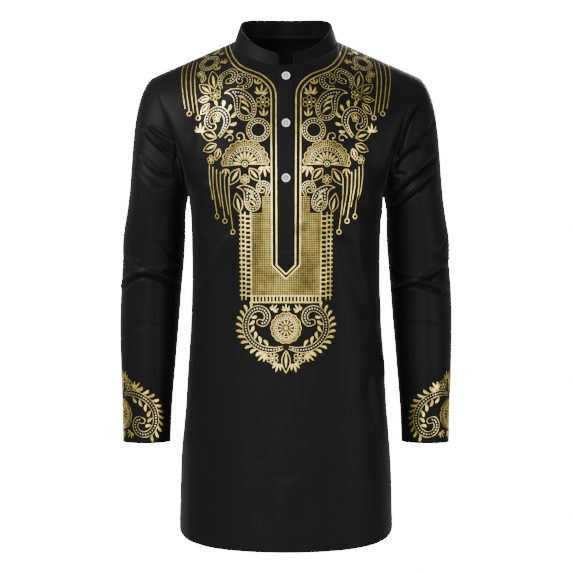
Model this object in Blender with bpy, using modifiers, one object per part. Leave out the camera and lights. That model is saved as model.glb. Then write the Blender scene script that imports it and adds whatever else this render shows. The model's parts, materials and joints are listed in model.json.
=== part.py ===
"""A long-sleeved dashiki shirt, filled out as it is when worn, and hollow.

Metres, +Z up, front towards -Y. The origin is midway between the two shoulders, 8 mm below
the points where the shoulder seams meet the collar: there the cloth lies on its wearer, and
every height below is measured from it. The cloth is cut and sewn from a front, a back, two sleeves,
a stand collar and a two-strip placket with three buttons. Every cloth piece is a wall:
its outer face is a grid of points on a named form, and its inner face is the same grid
moved in by the cloth's thickness.
"""

import math

import bmesh
import bpy
import numpy as np
from mathutils import Vector

# Cloth and seams.
CLOTH = 0.0016  # thickness of one wall
HEM_CLOTH = 0.0024  # where the hem is turned up
HEM_TURN = 0.012  # height of the turned hem
HEM_STEP = 1.06  # the single cloth above it starts at this many times that height
SEAM_GAP = 0.0003  # between neighbouring pieces
FACE_GAP = 0.0003  # between a piece and what it lies on

# Body of the shirt.
ARMPIT_Z = -0.250
AXIS_TOP_Z = -0.160  # the cloth faces away from the body's upright axis below this
HEM_FRONT_Z = -0.823
HEM_BACK_Z = -0.826
HEM_SIDE_RISE = 0.026  # the hem climbs this much towards the side seams,
HEM_CORNER_RISE = 0.004  # and this much more in its rounded corners
ARMPIT_ROW = 0.60  # share of a panel's rows that lies below the armpit

BODY_SECTIONS = (
    # height, half width, front depth, back depth, squareness
    (-0.840, 0.1780, 0.129, 0.125, 0.16),
    (-0.763, 0.1765, 0.127, 0.122, 0.16),
    (-0.680, 0.1738, 0.124, 0.118, 0.16),
    (-0.596, 0.1670, 0.120, 0.112, 0.16),
    (-0.496, 0.1605, 0.117, 0.102, 0.17),
    (-0.429, 0.1572, 0.117, 0.097, 0.18),
    (-0.346, 0.1566, 0.119, 0.097, 0.20),
    (-0.279, 0.1592, 0.121, 0.100, 0.21),
    (-0.250, 0.1625, 0.121, 0.102, 0.21),
)

# Neck and shoulders.
NECK_HALF_WIDTH = 0.086
NECK_FRONT = 0.085
NECK_BACK = 0.075
NECK_SIDE_Z = 0.008  # height of the neck seam at the shoulder seams
NECK_TILT = 0.416  # it rises from front to back,
NECK_BOW = 2.44  # and bows down at both ends
SHOULDER_TIP = (0.221, 0.002, -0.0510)
CORNER_START = 0.50  # share of the rise to the top edge where its corner begins to show
CORNER_SHIFTS = np.linspace(-0.20, 0.20, 9)
NECK_EVEN = 0.9  # how evenly a panel's columns are spread along the neck seam
NECK_SHARE = 0.42  # share of a panel's half width that ends on the neck seam
RISE_TO_NECK = {"front": (0.10, 0.16), "back": (0.13, 0.12)}  # in and up, at its middle
ROLL_AT_NECK = {"front": (0.26, 0.108), "back": (0.30, -0.045)}  # at its ends
ROLL_AT_TIP = 0.21  # and to the shoulder seam's outer end, where it arrives level
ARMHOLE_EASE = 0.50  # share of the half width over which a panel bends to the armhole
ARMPIT_TURN = 0.15  # share of the armhole over which the seam turns to face down

ARMHOLE_FRONT = (
    # share of the way up, x, y, z
    (0.00, 0.1625, 0.000, -0.2500),
    (0.14, 0.1640, -0.031, -0.2400),
    (0.32, 0.1690, -0.058, -0.2080),
    (0.52, 0.1825, -0.066, -0.1600),
    (0.70, 0.1975, -0.058, -0.1160),
    (0.84, 0.2095, -0.041, -0.0820),
    (0.94, 0.2175, -0.018, -0.0590),
    (1.00, 0.2210, 0.002, -0.0510),
)
ARMHOLE_BACK = (
    (0.00, 0.1625, 0.000, -0.2500),
    (0.14, 0.1640, 0.034, -0.2380),
    (0.32, 0.1690, 0.064, -0.2000),
    (0.52, 0.1790, 0.076, -0.1510),
    (0.70, 0.1935, 0.068, -0.1070),
    (0.84, 0.2065, 0.049, -0.0760),
    (0.94, 0.2165, 0.023, -0.0570),
    (1.00, 0.2210, 0.002, -0.0510),
)

# Sleeves.
SLEEVE_SECTIONS = (
    # height, centre x, centre y, half width, half depth
    (-0.279, 0.2165, 0.003, 0.0490, 0.070),
    (-0.325, 0.2205, 0.006, 0.0520, 0.067),
    (-0.360, 0.2220, 0.008, 0.0510, 0.065),
    (-0.405, 0.2255, 0.009, 0.0505, 0.062),
    (-0.460, 0.2282, 0.006, 0.0492, 0.058),
    (-0.530, 0.2298, -0.001, 0.0456, 0.052),
    (-0.600, 0.2308, -0.008, 0.0413, 0.045),
    (-0.658, 0.2310, -0.014, 0.0396, 0.041),
)
CAP_ROW = 0.40  # share of a sleeve's rows that lies in the cap, above the first section
CAP_LEAVE_TOP = (0.125, 0.0, -0.10)  # how the cap leaves the armhole at the shoulder tip,
CAP_LEAVE_SIDE = (0.055, 0.035, -0.10)  # at its front and back (outwards, away, down),
CAP_LEAVE_UNDER = (0.004, 0.0, -0.03)  # and at the armpit

# Collar: a stand band, open at the front.
COLLAR_CLOTH = 0.0020
COLLAR_HALF_GAP = 0.0125
COLLAR_CORNER = 0.009
COLLAR_TOP_HALF_WIDTH = 0.0765
COLLAR_TOP_FRONT = 0.0765
COLLAR_TOP_BACK = 0.069
COLLAR_TOP_SIDE_Z = 0.0345
COLLAR_TOP_TILT = 0.52
COLLAR_TOP_BOW = 3.15
COLLAR_FOOT = 0.0006  # the band starts this far above the neck seam

# Placket and buttons.
PLACKET_HALF_WIDTH = 0.0127
PLACKET_CLOTH = 0.0012
PLACKET_TIP_Z = -0.374
PLACKET_POINT = 0.014  # length of its pointed end
PLACKET_TOP = 0.9995  # share of the way up the front at which it ends
SLOT_HALF_WIDTH = 0.0075
SLOT_END_Z = -0.345
BUTTON_HEIGHTS = (-0.065, -0.142, -0.2295)
BUTTON_RADIUS = 0.0065
BUTTON_THICK = 0.0026
BUTTON_HOLE_RADIUS = 0.0009
BUTTON_HOLE_SPACING = 0.0028
BUTTON_PROFILE = (
    # share of its radius, share of its thickness, from the middle of its face round to its back
    (0.00, 0.62),
    (0.62, 0.62),
    (0.74, 1.00),
    (0.90, 0.96),
    (1.00, 0.60),
    (0.90, 0.10),
    (0.70, 0.00),
    (0.00, 0.00),
)

# The label inside the back of the collar.
LABEL_CLOTH = 0.0010
LABEL_SIZE = (0.078, 0.0200)
LABEL_RAISED = 0.72  # how far up the free height of the collar's back it sits

# Creases, as a curve through three points seen from the front (x, z), with a depth
# (minus for a ridge) and a half width. A trough has a lower ridge along its upper side.
BODY_CREASES = (
    # face, x0, z0, x1, z1, x2, z2, depth, half width
    ("front", -0.088, -0.318, -0.106, -0.350, -0.140, -0.412, -0.0022, 0.009),
    ("front", 0.093, -0.315, 0.108, -0.385, 0.142, -0.470, 0.0040, 0.016),
    ("front", 0.133, -0.450, 0.150, -0.500, 0.154, -0.562, -0.0035, 0.008),
    ("front", 0.134, -0.540, 0.141, -0.600, 0.153, -0.650, 0.0040, 0.010),
    ("front", 0.000, -0.700, 0.000, -0.760, 0.000, -0.830, -0.0022, 0.018),
    ("front", 0.118, -0.255, 0.128, -0.275, 0.140, -0.300, 0.0030, 0.016),
    ("front", -0.128, -0.640, -0.130, -0.730, -0.136, -0.830, 0.0028, 0.018),
    ("back", -0.120, -0.270, -0.090, -0.330, -0.075, -0.420, 0.0035, 0.016),
    ("back", 0.122, -0.265, 0.095, -0.330, 0.070, -0.400, 0.0030, 0.014),
    ("back", -0.040, -0.480, -0.052, -0.600, -0.060, -0.830, 0.0045, 0.022),
    ("back", 0.050, -0.520, 0.058, -0.650, 0.066, -0.830, 0.0042, 0.022),
    ("back", 0.002, -0.430, 0.004, -0.560, 0.000, -0.800, -0.0025, 0.020),
)
SLEEVE_CREASES = {
    "left": (
        ("front", 0.176, -0.215, 0.186, -0.160, 0.214, -0.117, 0.0040, 0.008),
        ("front", 0.176, -0.255, 0.205, -0.226, 0.241, -0.200, 0.0036, 0.007),
        ("front", 0.180, -0.278, 0.208, -0.252, 0.242, -0.222, 0.0032, 0.007),
        ("front", 0.208, -0.396, 0.238, -0.382, 0.268, -0.364, 0.0036, 0.006),
        ("front", 0.176, -0.410, 0.219, -0.398, 0.268, -0.424, 0.0052, 0.007),
        ("back", 0.184, -0.250, 0.205, -0.215, 0.236, -0.190, 0.0036, 0.009),
        ("back", 0.178, -0.372, 0.220, -0.392, 0.266, -0.384, 0.0036, 0.008),
        ("back", 0.184, -0.432, 0.224, -0.424, 0.264, -0.446, 0.0030, 0.008),
    ),
    "right": (
        ("front", -0.178, -0.204, -0.200, -0.187, -0.227, -0.150, 0.0040, 0.007),
        ("front", -0.178, -0.236, -0.204, -0.224, -0.229, -0.194, 0.0038, 0.007),
        ("front", -0.190, -0.256, -0.214, -0.244, -0.235, -0.217, 0.0028, 0.007),
        ("front", -0.230, -0.376, -0.245, -0.368, -0.262, -0.350, 0.0034, 0.006),
        ("front", -0.172, -0.410, -0.222, -0.381, -0.268, -0.408, 0.0052, 0.007),
        ("back", -0.184, -0.246, -0.207, -0.214, -0.238, -0.192, 0.0034, 0.009),
        ("back", -0.180, -0.366, -0.222, -0.388, -0.266, -0.376, 0.0038, 0.008),
        ("back", -0.184, -0.440, -0.224, -0.428, -0.264, -0.438, 0.0028, 0.008),
    ),
}
RIDGE_SHARE = 0.55  # height of the ridge above a trough, as a share of its depth
RIDGE_AWAY = 1.7  # and how far above it lies, in half widths of the trough
CREASE_FADE = 0.18  # share of a crease's length over which each end dies away
CREASE_STEPS = np.linspace(0, 1, 25)  # where a crease's curve is measured
SEAM_CALM = 0.06  # creases die away over this share of a panel's width at its side edges,
TOP_CALM = 0.04  # over this share of its height at its top edge,
CAP_CALM = 0.05  # over this share of a sleeve's length at the armhole,
SIDE_CALM = 0.35  # and where a sleeve turns from its front to its back

# Grids: how many cells each piece has.
NECK_COLUMNS = 7  # of a panel, from its centre to the end of the neck seam
SHOULDER_COLUMNS = 6  # and on to its side edge
BODY_ROWS = 15  # between the hem's turn and the armpit
CHEST_ROWS = 12  # between the armpit and the shoulder
SLEEVE_COLUMNS = 2 * CHEST_ROWS  # so that its points meet the panels' along the armhole
CAP_ROWS = 11
SLEEVE_HEIGHTS = (
    *(-0.300, -0.325, -0.346, -0.358),  # upper arm
    *np.linspace(-0.366, -0.430, 10),  # elbow
    *(-0.445, -0.475, -0.515, -0.560, -0.610),  # forearm
)
COLLAR_ROWS = 4
CORNER_COLUMNS = (0, 0.12, 0.4, 1.0)  # shares of the width of the collar's rounded end
CORNER_CLEAR = 0.02  # quarter turns kept free between them and the panels' own columns
PLACKET_ROWS = 20
BUTTON_STEPS = 20
HOLE_STEPS = 8
FLAT_THICKNESS = 0.1  # of a piece while it still lies flat, 2 across and 2 high
SLOPE_STEP = 0.01  # height over which a section's slope is measured
STEP = 1e-4  # used to measure a form's slope
WELD = 1e-6  # points nearer than this are one point
MERGE = 1e-5  # the same, for a turned button's centre

CUTTERS_NAME = "cutters"
SHIRT_NAME = "dashiki_shirt"

# Surfaces: colour and roughness.
BLACK_CLOTH = (0.012, 0.012, 0.013, 1.0), 0.72
LABEL_BLACK = (0.004, 0.004, 0.004, 1.0), 0.80
BUTTON_WHITE = (0.80, 0.80, 0.78, 1.0), 0.30


def clear_scene():
    for thing in list(bpy.data.objects):
        bpy.data.objects.remove(thing)


def new_collection(name):
    made = bpy.data.collections.new(name)
    bpy.context.scene.collection.children.link(made)
    return made


def material(name, colour, roughness):
    made = bpy.data.materials.new(name)
    made.use_nodes = True
    shader = made.node_tree.nodes["Principled BSDF"]
    shader.inputs["Base Color"].default_value = colour
    shader.inputs["Roughness"].default_value = roughness
    return made


# ---------------------------------------------------------------- curves and tables


def smooth(share):
    """0 to 1 with no slope at either end."""
    share = np.clip(share, 0.0, 1.0)
    return share * share * (3 - 2 * share)


def hermite(start, leave, end, arrive, t):
    """The curve from start to end that leaves and arrives along two given slopes."""
    return (
        (2 * t**3 - 3 * t**2 + 1) * start
        + (t**3 - 2 * t**2 + t) * leave
        + (3 * t**2 - 2 * t**3) * end
        + (t**3 - t**2) * arrive
    )


def read(table, place):
    """Every other column of a table, on smooth curves through its rows, at a place in column one."""
    rows = np.array(sorted(table), float)
    places, values = rows[:, 0], rows[:, 1:]
    slopes = np.gradient(values, places, axis=0)
    place = np.clip(np.asarray(place, float), places[0], places[-1])
    row = np.clip(np.searchsorted(places, place) - 1, 0, len(places) - 2)
    long = (places[row + 1] - places[row])[..., None]
    t = (place - places[row])[..., None] / long
    found = hermite(values[row], slopes[row] * long, values[row + 1], slopes[row + 1] * long, t)
    return np.moveaxis(found, -1, 0)


def points(*parts):
    """Arrays of x, y and z as one array of points."""
    return np.stack(np.broadcast_arrays(*parts), -1)


def unit(vectors):
    return vectors / np.maximum(np.linalg.norm(vectors, axis=-1, keepdims=True), 1e-12)


# ---------------------------------------------------------------- creases


def crease_depth(creases, face, x, z):
    """How far in (plus) or out (minus) the creases of a face move each point."""
    moved = np.zeros(np.shape(x))
    steps = CREASE_STEPS
    for on, x0, z0, x1, z1, x2, z2, depth, wide in creases:
        if on != face:
            continue
        # A quadratic curve that passes through the middle point.
        mx, mz = 2 * x1 - (x0 + x2) / 2, 2 * z1 - (z0 + z2) / 2
        cx = (1 - steps) ** 2 * x0 + 2 * steps * (1 - steps) * mx + steps**2 * x2
        cz = (1 - steps) ** 2 * z0 + 2 * steps * (1 - steps) * mz + steps**2 * z2
        off = (x[..., None] - cx) ** 2 + (z[..., None] - cz) ** 2
        nearest = off.argmin(-1)
        away = np.sqrt(off.min(-1))
        above = np.where(z < cz[nearest], -1, 1)
        along = steps[nearest]
        fade = smooth(along / CREASE_FADE) * smooth((1 - along) / CREASE_FADE)
        trough = np.exp(-((away / wide) ** 2))
        ridge = RIDGE_SHARE * np.exp(-((above * away / wide - RIDGE_AWAY) ** 2))
        moved = moved + depth * fade * (trough - (ridge if depth > 0 else 0))
    return moved


# ---------------------------------------------------------------- the form of the body


def body_point(height, turn):
    """A point of the body below the armholes. turn is in quarter turns from the centre front."""
    half_width, front, back, square = read(BODY_SECTIONS, height)
    angle = turn * math.pi / 2
    sine, cosine = np.sin(angle), np.cos(angle)
    depth = np.where(cosine >= 0, front, back)
    x = half_width * sine * (1 + square * cosine**2)
    y = -depth * cosine * (1 + square * sine**2)
    return points(x, y, height)


def neck_point(turn):
    """A point of the neck seam, turn quarter turns from the centre front."""
    angle = turn * math.pi / 2
    y = -np.where(np.cos(angle) >= 0, NECK_FRONT, NECK_BACK) * np.cos(angle)
    z = NECK_SIDE_Z + NECK_TILT * y - NECK_BOW * y**2
    return points(NECK_HALF_WIDTH * np.sin(angle), y, z)


def collar_top_point(turn):
    """A point of the collar's upper edge."""
    angle = turn * math.pi / 2
    y = -np.where(np.cos(angle) >= 0, COLLAR_TOP_FRONT, COLLAR_TOP_BACK) * np.cos(angle)
    z = COLLAR_TOP_SIDE_Z + COLLAR_TOP_TILT * y - COLLAR_TOP_BOW * y**2
    return points(COLLAR_TOP_HALF_WIDTH * np.sin(angle), y, z)


def armhole_point(face, side, up):
    """A point of the armhole seam, a share of the way up from the armpit."""
    x, y, z = read(ARMHOLE_FRONT if face == "front" else ARMHOLE_BACK, up)
    return points(side * x, y, z)


def hem_height(face, across):
    """The hem climbs towards the sides, and its corners are rounded."""
    low = HEM_FRONT_Z if face == "front" else HEM_BACK_Z
    return low + HEM_SIDE_RISE * across**2 + HEM_CORNER_RISE * np.abs(across) ** 8


def quarter_turns(face, across):
    """Where a share across a panel lies, in quarter turns from the centre front."""
    return across if face == "front" else np.where(across < 0, -2 - across, 2 - across)


def neck_turn(across):
    """The part of the neck seam that a column ends on, from 0 at its middle to 1 at its side."""
    share = np.clip(np.abs(across) / NECK_SHARE, 0, 1)
    return NECK_EVEN * share + (1 - NECK_EVEN) * share**3


def top_edge(face, across):
    """A panel's top edge: first the neck seam, then the shoulder seam out to its tip."""
    across = np.clip(across, -1, 1)
    side = np.where(across < 0, -1.0, 1.0)
    neck = neck_point(side * quarter_turns(face, neck_turn(across)))
    out = np.clip((np.abs(across) - NECK_SHARE) / (1 - NECK_SHARE), 0, 1)[..., None]
    tip = points(side * SHOULDER_TIP[0], SHOULDER_TIP[1], SHOULDER_TIP[2])
    return neck + (tip - neck) * out


def rising(face, across, t):
    """A panel above the chest, before its edge is bent to the armhole: each column leaves the
    chest as the section below it does, and arrives at the neck seam or the shoulder seam."""
    turn = quarter_turns(face, across)
    chest = body_point(np.full_like(across, ARMPIT_Z), turn)
    below = body_point(np.full_like(across, ARMPIT_Z - SLOPE_STEP), turn)
    slope = (chest - below) / SLOPE_STEP

    # Well below the top edge, its corner at the neck's side is rounded off.
    rounded = sum(top_edge(face, across + shift) for shift in CORNER_SHIFTS) / len(CORNER_SHIFTS)
    near_top = smooth((t - CORNER_START) / (1 - CORNER_START))[..., None]
    top = rounded + (top_edge(face, across) - rounded) * near_top

    # The slopes at which it arrives in the middle, at the neck's side and at the tip.
    back_way = 1.0 if face == "front" else -1.0
    middle, corner, shoulder = (
        points(0 * across, back_way * inward, upward)
        for inward, upward in (RISE_TO_NECK[face], ROLL_AT_NECK[face], (ROLL_AT_TIP, 0))
    )
    facing = np.sin(neck_turn(across) * math.pi / 2)[..., None] ** 2
    out = np.clip((np.abs(across) - NECK_SHARE) / (1 - NECK_SHARE), 0, 1)[..., None]
    arrive = middle + (corner - middle) * facing + (shoulder - corner) * smooth(out)
    return hermite(chest, slope * (top[..., 2:] - ARMPIT_Z), top, arrive, t[..., None])


def panel_point(face, across, up):
    """A point of the front or back. across is -1 to 1 between the side edges, up is 0 at the
    hem, ARMPIT_ROW at the armpit and 1 at the shoulder and neck seams."""
    across, up = np.broadcast_arrays(np.asarray(across, float), np.asarray(up, float))
    side, share = np.where(across < 0, -1.0, 1.0), np.abs(across)
    hem = hem_height(face, across)
    height = hem + (ARMPIT_Z - hem) * np.clip(up / ARMPIT_ROW, 0, 1)
    below = body_point(height, quarter_turns(face, across))
    t = np.clip((up - ARMPIT_ROW) / (1 - ARMPIT_ROW), 0, 1)
    bend = smooth((share - (1 - ARMHOLE_EASE)) / ARMHOLE_EASE)[..., None]
    above = rising(face, across, t)
    above = above + (armhole_point(face, side, t) - rising(face, side, t)) * bend
    return np.where((up > ARMPIT_ROW)[..., None], above, below)


def sleeve_point(side, around, down):
    """A point of a sleeve. around is 0 to 1 from the armpit by the front, the shoulder tip
    and the back; down is 0 at the armhole, CAP_ROW at the first section and 1 at the cuff."""
    around, down = np.broadcast_arrays(np.asarray(around, float), np.asarray(down, float))
    around = around % 1.0
    first, last = SLEEVE_SECTIONS[0][0], SLEEVE_SECTIONS[-1][0]
    height = first + (last - first) * np.clip((down - CAP_ROW) / (1 - CAP_ROW), 0, 1)
    sine, cosine = np.sin(2 * math.pi * around), np.cos(2 * math.pi * around)

    def ring(z):
        cx, cy, half_width, half_depth = read(SLEEVE_SECTIONS, z)
        return points(side * (cx - half_width * cosine), cy - half_depth * sine, z)

    up = np.where(around <= 0.5, 2 * around, 2 - 2 * around)
    start = np.where(
        (around <= 0.5)[..., None],
        armhole_point("front", side, up),
        armhole_point("back", side, up),
    )
    end = ring(np.full_like(around, first))
    slope = (ring(np.full_like(around, first - SLOPE_STEP)) - end) / SLOPE_STEP
    top = smooth(np.clip(-cosine, 0, 1))[..., None]
    under = smooth(np.clip(cosine, 0, 1))[..., None]
    leave_side = points(
        side * CAP_LEAVE_SIDE[0] + 0 * sine, -np.sign(sine) * CAP_LEAVE_SIDE[1], CAP_LEAVE_SIDE[2]
    )
    leave_top = np.array([side * CAP_LEAVE_TOP[0], CAP_LEAVE_TOP[1], CAP_LEAVE_TOP[2]])
    leave_under = np.array([side * CAP_LEAVE_UNDER[0], CAP_LEAVE_UNDER[1], CAP_LEAVE_UNDER[2]])
    leave = leave_side * (1 - top) * (1 - under) + leave_top * top + leave_under * under
    arrive = slope * np.linalg.norm(end - start, axis=-1, keepdims=True)
    t = np.clip(down / CAP_ROW, 0, 1)[..., None]
    cap = hermite(start, leave, end, arrive, t)
    return np.where((down > CAP_ROW)[..., None], ring(height), cap)


def outward(form, u, v, centre):
    """Unit normals of a form, pointing away from centre, measured by small steps inside it."""
    step_u = np.where(u > 0, -STEP, STEP)
    step_v = np.where(v > 0.5, -STEP, STEP)
    here = form(u, v)
    along_u = (form(u + step_u, v) - here) / step_u[..., None]
    along_v = (form(u, v + step_v) - here) / step_v[..., None]
    normal = unit(np.cross(along_u, along_v))
    turned = np.sign(((here - centre(here)) * normal).sum(-1, keepdims=True))
    return normal * np.where(turned == 0, 1, turned)


def sleeve_normal(side, around, down):
    """Unit normals of a sleeve's form, pointing out of the sleeve."""
    step_down = np.where(down > 0.5, -STEP, STEP)
    along = sleeve_point(side, around + STEP, down) - sleeve_point(side, around - STEP, down)
    here = sleeve_point(side, around, down)
    along_down = (sleeve_point(side, around, down + step_down) - here) / step_down[..., None]
    return unit(np.cross(along, along_down)) * -side


def shoulder_normal(side):
    """Square to the shoulder seam and to the roll of the cloth over it."""
    drop = neck_point(np.ones(1))[0, 2] - SHOULDER_TIP[2]
    return unit(points(side * drop, 0, SHOULDER_TIP[0] - NECK_HALF_WIDTH))


def armhole_normal(face, side, up):
    """The direction that the edges of a panel and of its sleeve share along the armhole: midway
    between the two cloths, and straight down at the armpit, where they hang side by side."""
    u = np.full_like(up, side)
    v = ARMPIT_ROW + (1 - ARMPIT_ROW) * up
    panel = outward(lambda a, b: panel_point(face, a, b), u, v, body_axis)
    panel = np.where((up > 1 - WELD)[..., None], shoulder_normal(side), panel)
    around = up / 2 if face == "front" else 1 - up / 2
    sleeve = sleeve_normal(side, around, np.zeros_like(up))
    down = points(0 * up, 0 * up, -np.clip(1 - up / ARMPIT_TURN, 0, 1))
    return unit(panel + sleeve + down)


# ---------------------------------------------------------------- walls


def trimmed(grid, edges):
    """The grid with the named edges drawn in by half a seam gap, each towards its next row."""
    grid = grid.copy()
    rows = {"first row": (0, 1), "last row": (-1, -2)}
    for edge in edges:
        if edge in rows:
            end, near = rows[edge]
            grid[end] += unit(grid[near] - grid[end]) * SEAM_GAP / 2
        else:
            end, near = (0, 1) if edge == "first column" else (-1, -2)
            grid[:, end] += unit(grid[:, near] - grid[:, end]) * SEAM_GAP / 2
    return grid


def wall(name, outer, inner, surface, closed=False, missing=None):
    """A cut piece: a flat grid with a thickness, whose points are carried to outer and inner,
    both rows by columns of points. closed joins the first column to the last, as a sleeve's
    seam does. missing marks the cells that are cut out."""
    if closed:
        outer, inner = (np.concatenate([grid, grid[:, :1]], axis=1) for grid in (outer, inner))
    rows, columns = outer.shape[:2]
    piece = bmesh.new()
    bmesh.ops.create_grid(piece, x_segments=columns - 1, y_segments=rows - 1, size=1)

    def row_and_column(place):
        return (place.y + 1) / 2 * (rows - 1), (place.x + 1) / 2 * (columns - 1)

    if missing is not None:
        cells = [(f, *map(int, row_and_column(f.calc_center_median()))) for f in piece.faces]
        cut = [f for f, row, column in cells if missing[row, column]]
        bmesh.ops.delete(piece, geom=cut, context="FACES")
    bmesh.ops.solidify(piece, geom=piece.faces[:], thickness=FLAT_THICKNESS)
    if closed:
        ends = [f for f in piece.faces if abs(f.normal.x) > 0.5]
        bmesh.ops.delete(piece, geom=ends, context="FACES_ONLY")
    for vert in piece.verts:
        row, column = map(round, row_and_column(vert.co))
        vert.co = (inner if vert.co.z < -FLAT_THICKNESS / 2 else outer)[row, column]
    if closed:
        bmesh.ops.remove_doubles(piece, verts=piece.verts[:], dist=WELD)
    if piece.calc_volume(signed=True) < 0:
        bmesh.ops.reverse_faces(piece, faces=piece.faces[:])
    mesh = bpy.data.meshes.new(name)
    piece.to_mesh(mesh)
    piece.free()
    mesh.shade_smooth()
    mesh.set_sharp_from_angle(angle=math.radians(40))
    mesh.materials.append(surface)
    made = bpy.data.objects.new(name, mesh)
    bpy.data.collections[SHIRT_NAME].objects.link(made)
    return made


def body_axis(at):
    """The point of the body's upright axis that a point of the cloth faces away from."""
    return points(0 * at[..., 0], 0 * at[..., 1], np.minimum(at[..., 2], AXIS_TOP_Z))


def panel_rows():
    """Rows of a panel: the turned hem, the straight body, then closer rows over the chest."""
    turn = HEM_TURN / (ARMPIT_Z - HEM_FRONT_Z) * ARMPIT_ROW
    hem = [0.0, turn]
    body = list(np.linspace(turn * HEM_STEP, ARMPIT_ROW, BODY_ROWS + 1))
    chest = list(ARMPIT_ROW + (1 - ARMPIT_ROW) * np.linspace(0, 1, CHEST_ROWS + 1)[1:])
    return np.array(hem + body + chest)


def panel_columns(own=()):
    """Columns of a panel, from one side edge to the other: even ones up to the neck seam's end
    and beyond it, with the panel's own extra ones near the centre."""
    neck = [c for c in np.linspace(0, NECK_SHARE, NECK_COLUMNS + 1) if c > max(own, default=0)]
    shoulder = list(np.linspace(NECK_SHARE, 1, SHOULDER_COLUMNS + 1))[1:]
    half = [0, *own, *neck, *shoulder]
    return np.array([-c for c in half[:0:-1]] + half)


def across_at(distance):
    """The share across a panel that lies this distance from the centre, near the centre."""
    _, half_width, _, _, square = BODY_SECTIONS[-1]
    return distance / (half_width * (1 + square) * math.pi / 2)


def panel_grids(face, columns, rows):
    """(outer points, normals) of a panel, creases included."""
    u, v = np.meshgrid(columns, rows)
    on_form = panel_point(face, u, v)
    normals = outward(lambda a, b: panel_point(face, a, b), u, v, body_axis)
    shoulder = columns[np.abs(columns) >= NECK_SHARE]
    normals[-1, np.abs(columns) >= NECK_SHARE] = shoulder_normal(np.sign(shoulder))
    armhole = rows >= ARMPIT_ROW - WELD
    up = np.clip((rows[armhole] - ARMPIT_ROW) / (1 - ARMPIT_ROW), 0, 1)
    for column, side in ((0, -1), (-1, 1)):
        normals[armhole, column] = armhole_normal(face, side, up)
    fade = smooth((1 - np.abs(u)) / SEAM_CALM) * smooth((1 - v) / TOP_CALM)
    moved = crease_depth(BODY_CREASES, face, on_form[..., 0], on_form[..., 2]) * fade
    return on_form - normals * moved[..., None], normals


def panel_wall(name, face, columns, rows, surface, slot=0.0, slot_end=0.0):
    outer, normals = panel_grids(face, columns, rows)
    thick = np.where(rows <= rows[1] + WELD, HEM_CLOTH, CLOTH)[:, None, None]
    inner = outer - normals * thick
    edges = ("last row", "first column", "last column")
    missing = None
    if slot:
        middle = (columns[1:] + columns[:-1]) / 2
        centre = len(columns) // 2
        high = (outer[1:, centre, 2] + outer[:-1, centre, 2]) / 2
        missing = (high > slot_end)[:, None] & (np.abs(middle) < slot)[None, :]
    return wall(name, trimmed(outer, edges), trimmed(inner, edges), surface, missing=missing)


def sleeve_rows():
    """Rows of a sleeve: the cap, the upper arm, close rows at the elbow, forearm, turned hem."""
    first, last = SLEEVE_SECTIONS[0][0], SLEEVE_SECTIONS[-1][0]

    def row_at(height):
        return CAP_ROW + (1 - CAP_ROW) * (height - first) / (last - first)

    cap = list(np.linspace(0, CAP_ROW, CAP_ROWS + 1))
    arm = [row_at(z) for z in SLEEVE_HEIGHTS]
    turn = [row_at(last + HEM_TURN * HEM_STEP), row_at(last + HEM_TURN), 1.0]
    return np.array(cap + arm + turn)


def sleeve_grids(side, columns, rows):
    """(outer points, normals) of a sleeve, creases included."""
    u, v = np.meshgrid(columns, rows)
    on_form = sleeve_point(side, u, v)
    normals = sleeve_normal(side, u, v)
    for face, own in (("front", columns <= 0.5), ("back", columns > 0.5)):
        up = 2 * columns[own] if face == "front" else 2 - 2 * columns[own]
        normals[0, own] = armhole_normal(face, side, up)
    creases = SLEEVE_CREASES["left" if side > 0 else "right"]
    x, _, z = np.moveaxis(on_form, -1, 0)
    front, back = (crease_depth(creases, face, x, z) for face in ("front", "back"))
    moved = np.where(u <= 0.5, front, back)
    moved = moved * smooth(np.abs(np.sin(2 * math.pi * u)) / SIDE_CALM) * smooth(v / CAP_CALM)
    return on_form - normals * moved[..., None], normals


def sleeve_wall(name, side, surface):
    rows = sleeve_rows()
    columns = np.arange(SLEEVE_COLUMNS) / SLEEVE_COLUMNS
    outer, normals = sleeve_grids(side, columns, rows)
    thick = np.where(rows >= rows[-2] - WELD, HEM_CLOTH, CLOTH)[:, None, None]
    inner = outer - normals * thick
    return wall(name, trimmed(outer, ["first row"]), trimmed(inner, ["first row"]), surface, closed=True)


def collar_turns(front_columns, back_columns):
    """Where the collar's columns stand, in quarter turns from one front end round the back to
    the other: at its rounded ends, and then above those of the panels' neck seams."""
    end = COLLAR_HALF_GAP / NECK_FRONT / (math.pi / 2)
    corner = end + COLLAR_CORNER * np.array(CORNER_COLUMNS) / NECK_FRONT / (math.pi / 2)
    front, back = (
        neck_turn(columns[(columns >= 0) & (columns < NECK_SHARE + WELD)])
        for columns in (front_columns, back_columns)
    )
    half = np.concatenate([corner, front[front > corner[-1] + CORNER_CLEAR], 2 - back[-2::-1]])
    return np.concatenate([half, 4 - half[-2::-1]])


def collar_grid(turns, shares):
    """(outer points, normals) of the collar, at shares of the way up."""
    base = neck_point(turns)
    base[..., 2] += COLLAR_FOOT
    top = collar_top_point(turns)
    reach = np.minimum(turns, 4 - turns) * math.pi / 2 * NECK_FRONT - COLLAR_HALF_GAP
    cut = np.clip(COLLAR_CORNER - reach, 0, COLLAR_CORNER)
    drop = COLLAR_CORNER - np.sqrt(COLLAR_CORNER**2 - cut**2)
    high = 1 - drop / np.linalg.norm(top - base, axis=-1)
    outer = base + (top - base) * (shares[:, None] * high)[..., None]
    normals = unit(np.cross(np.gradient(outer, axis=1), np.gradient(outer, axis=0)))
    return outer, normals


def collar_wall(turns, surface):
    outer, normals = collar_grid(turns, np.linspace(0, 1, COLLAR_ROWS + 1))
    return wall("collar", outer, outer - normals * COLLAR_CLOTH, surface)


# ---------------------------------------------------------------- what lies on the panels


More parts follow.
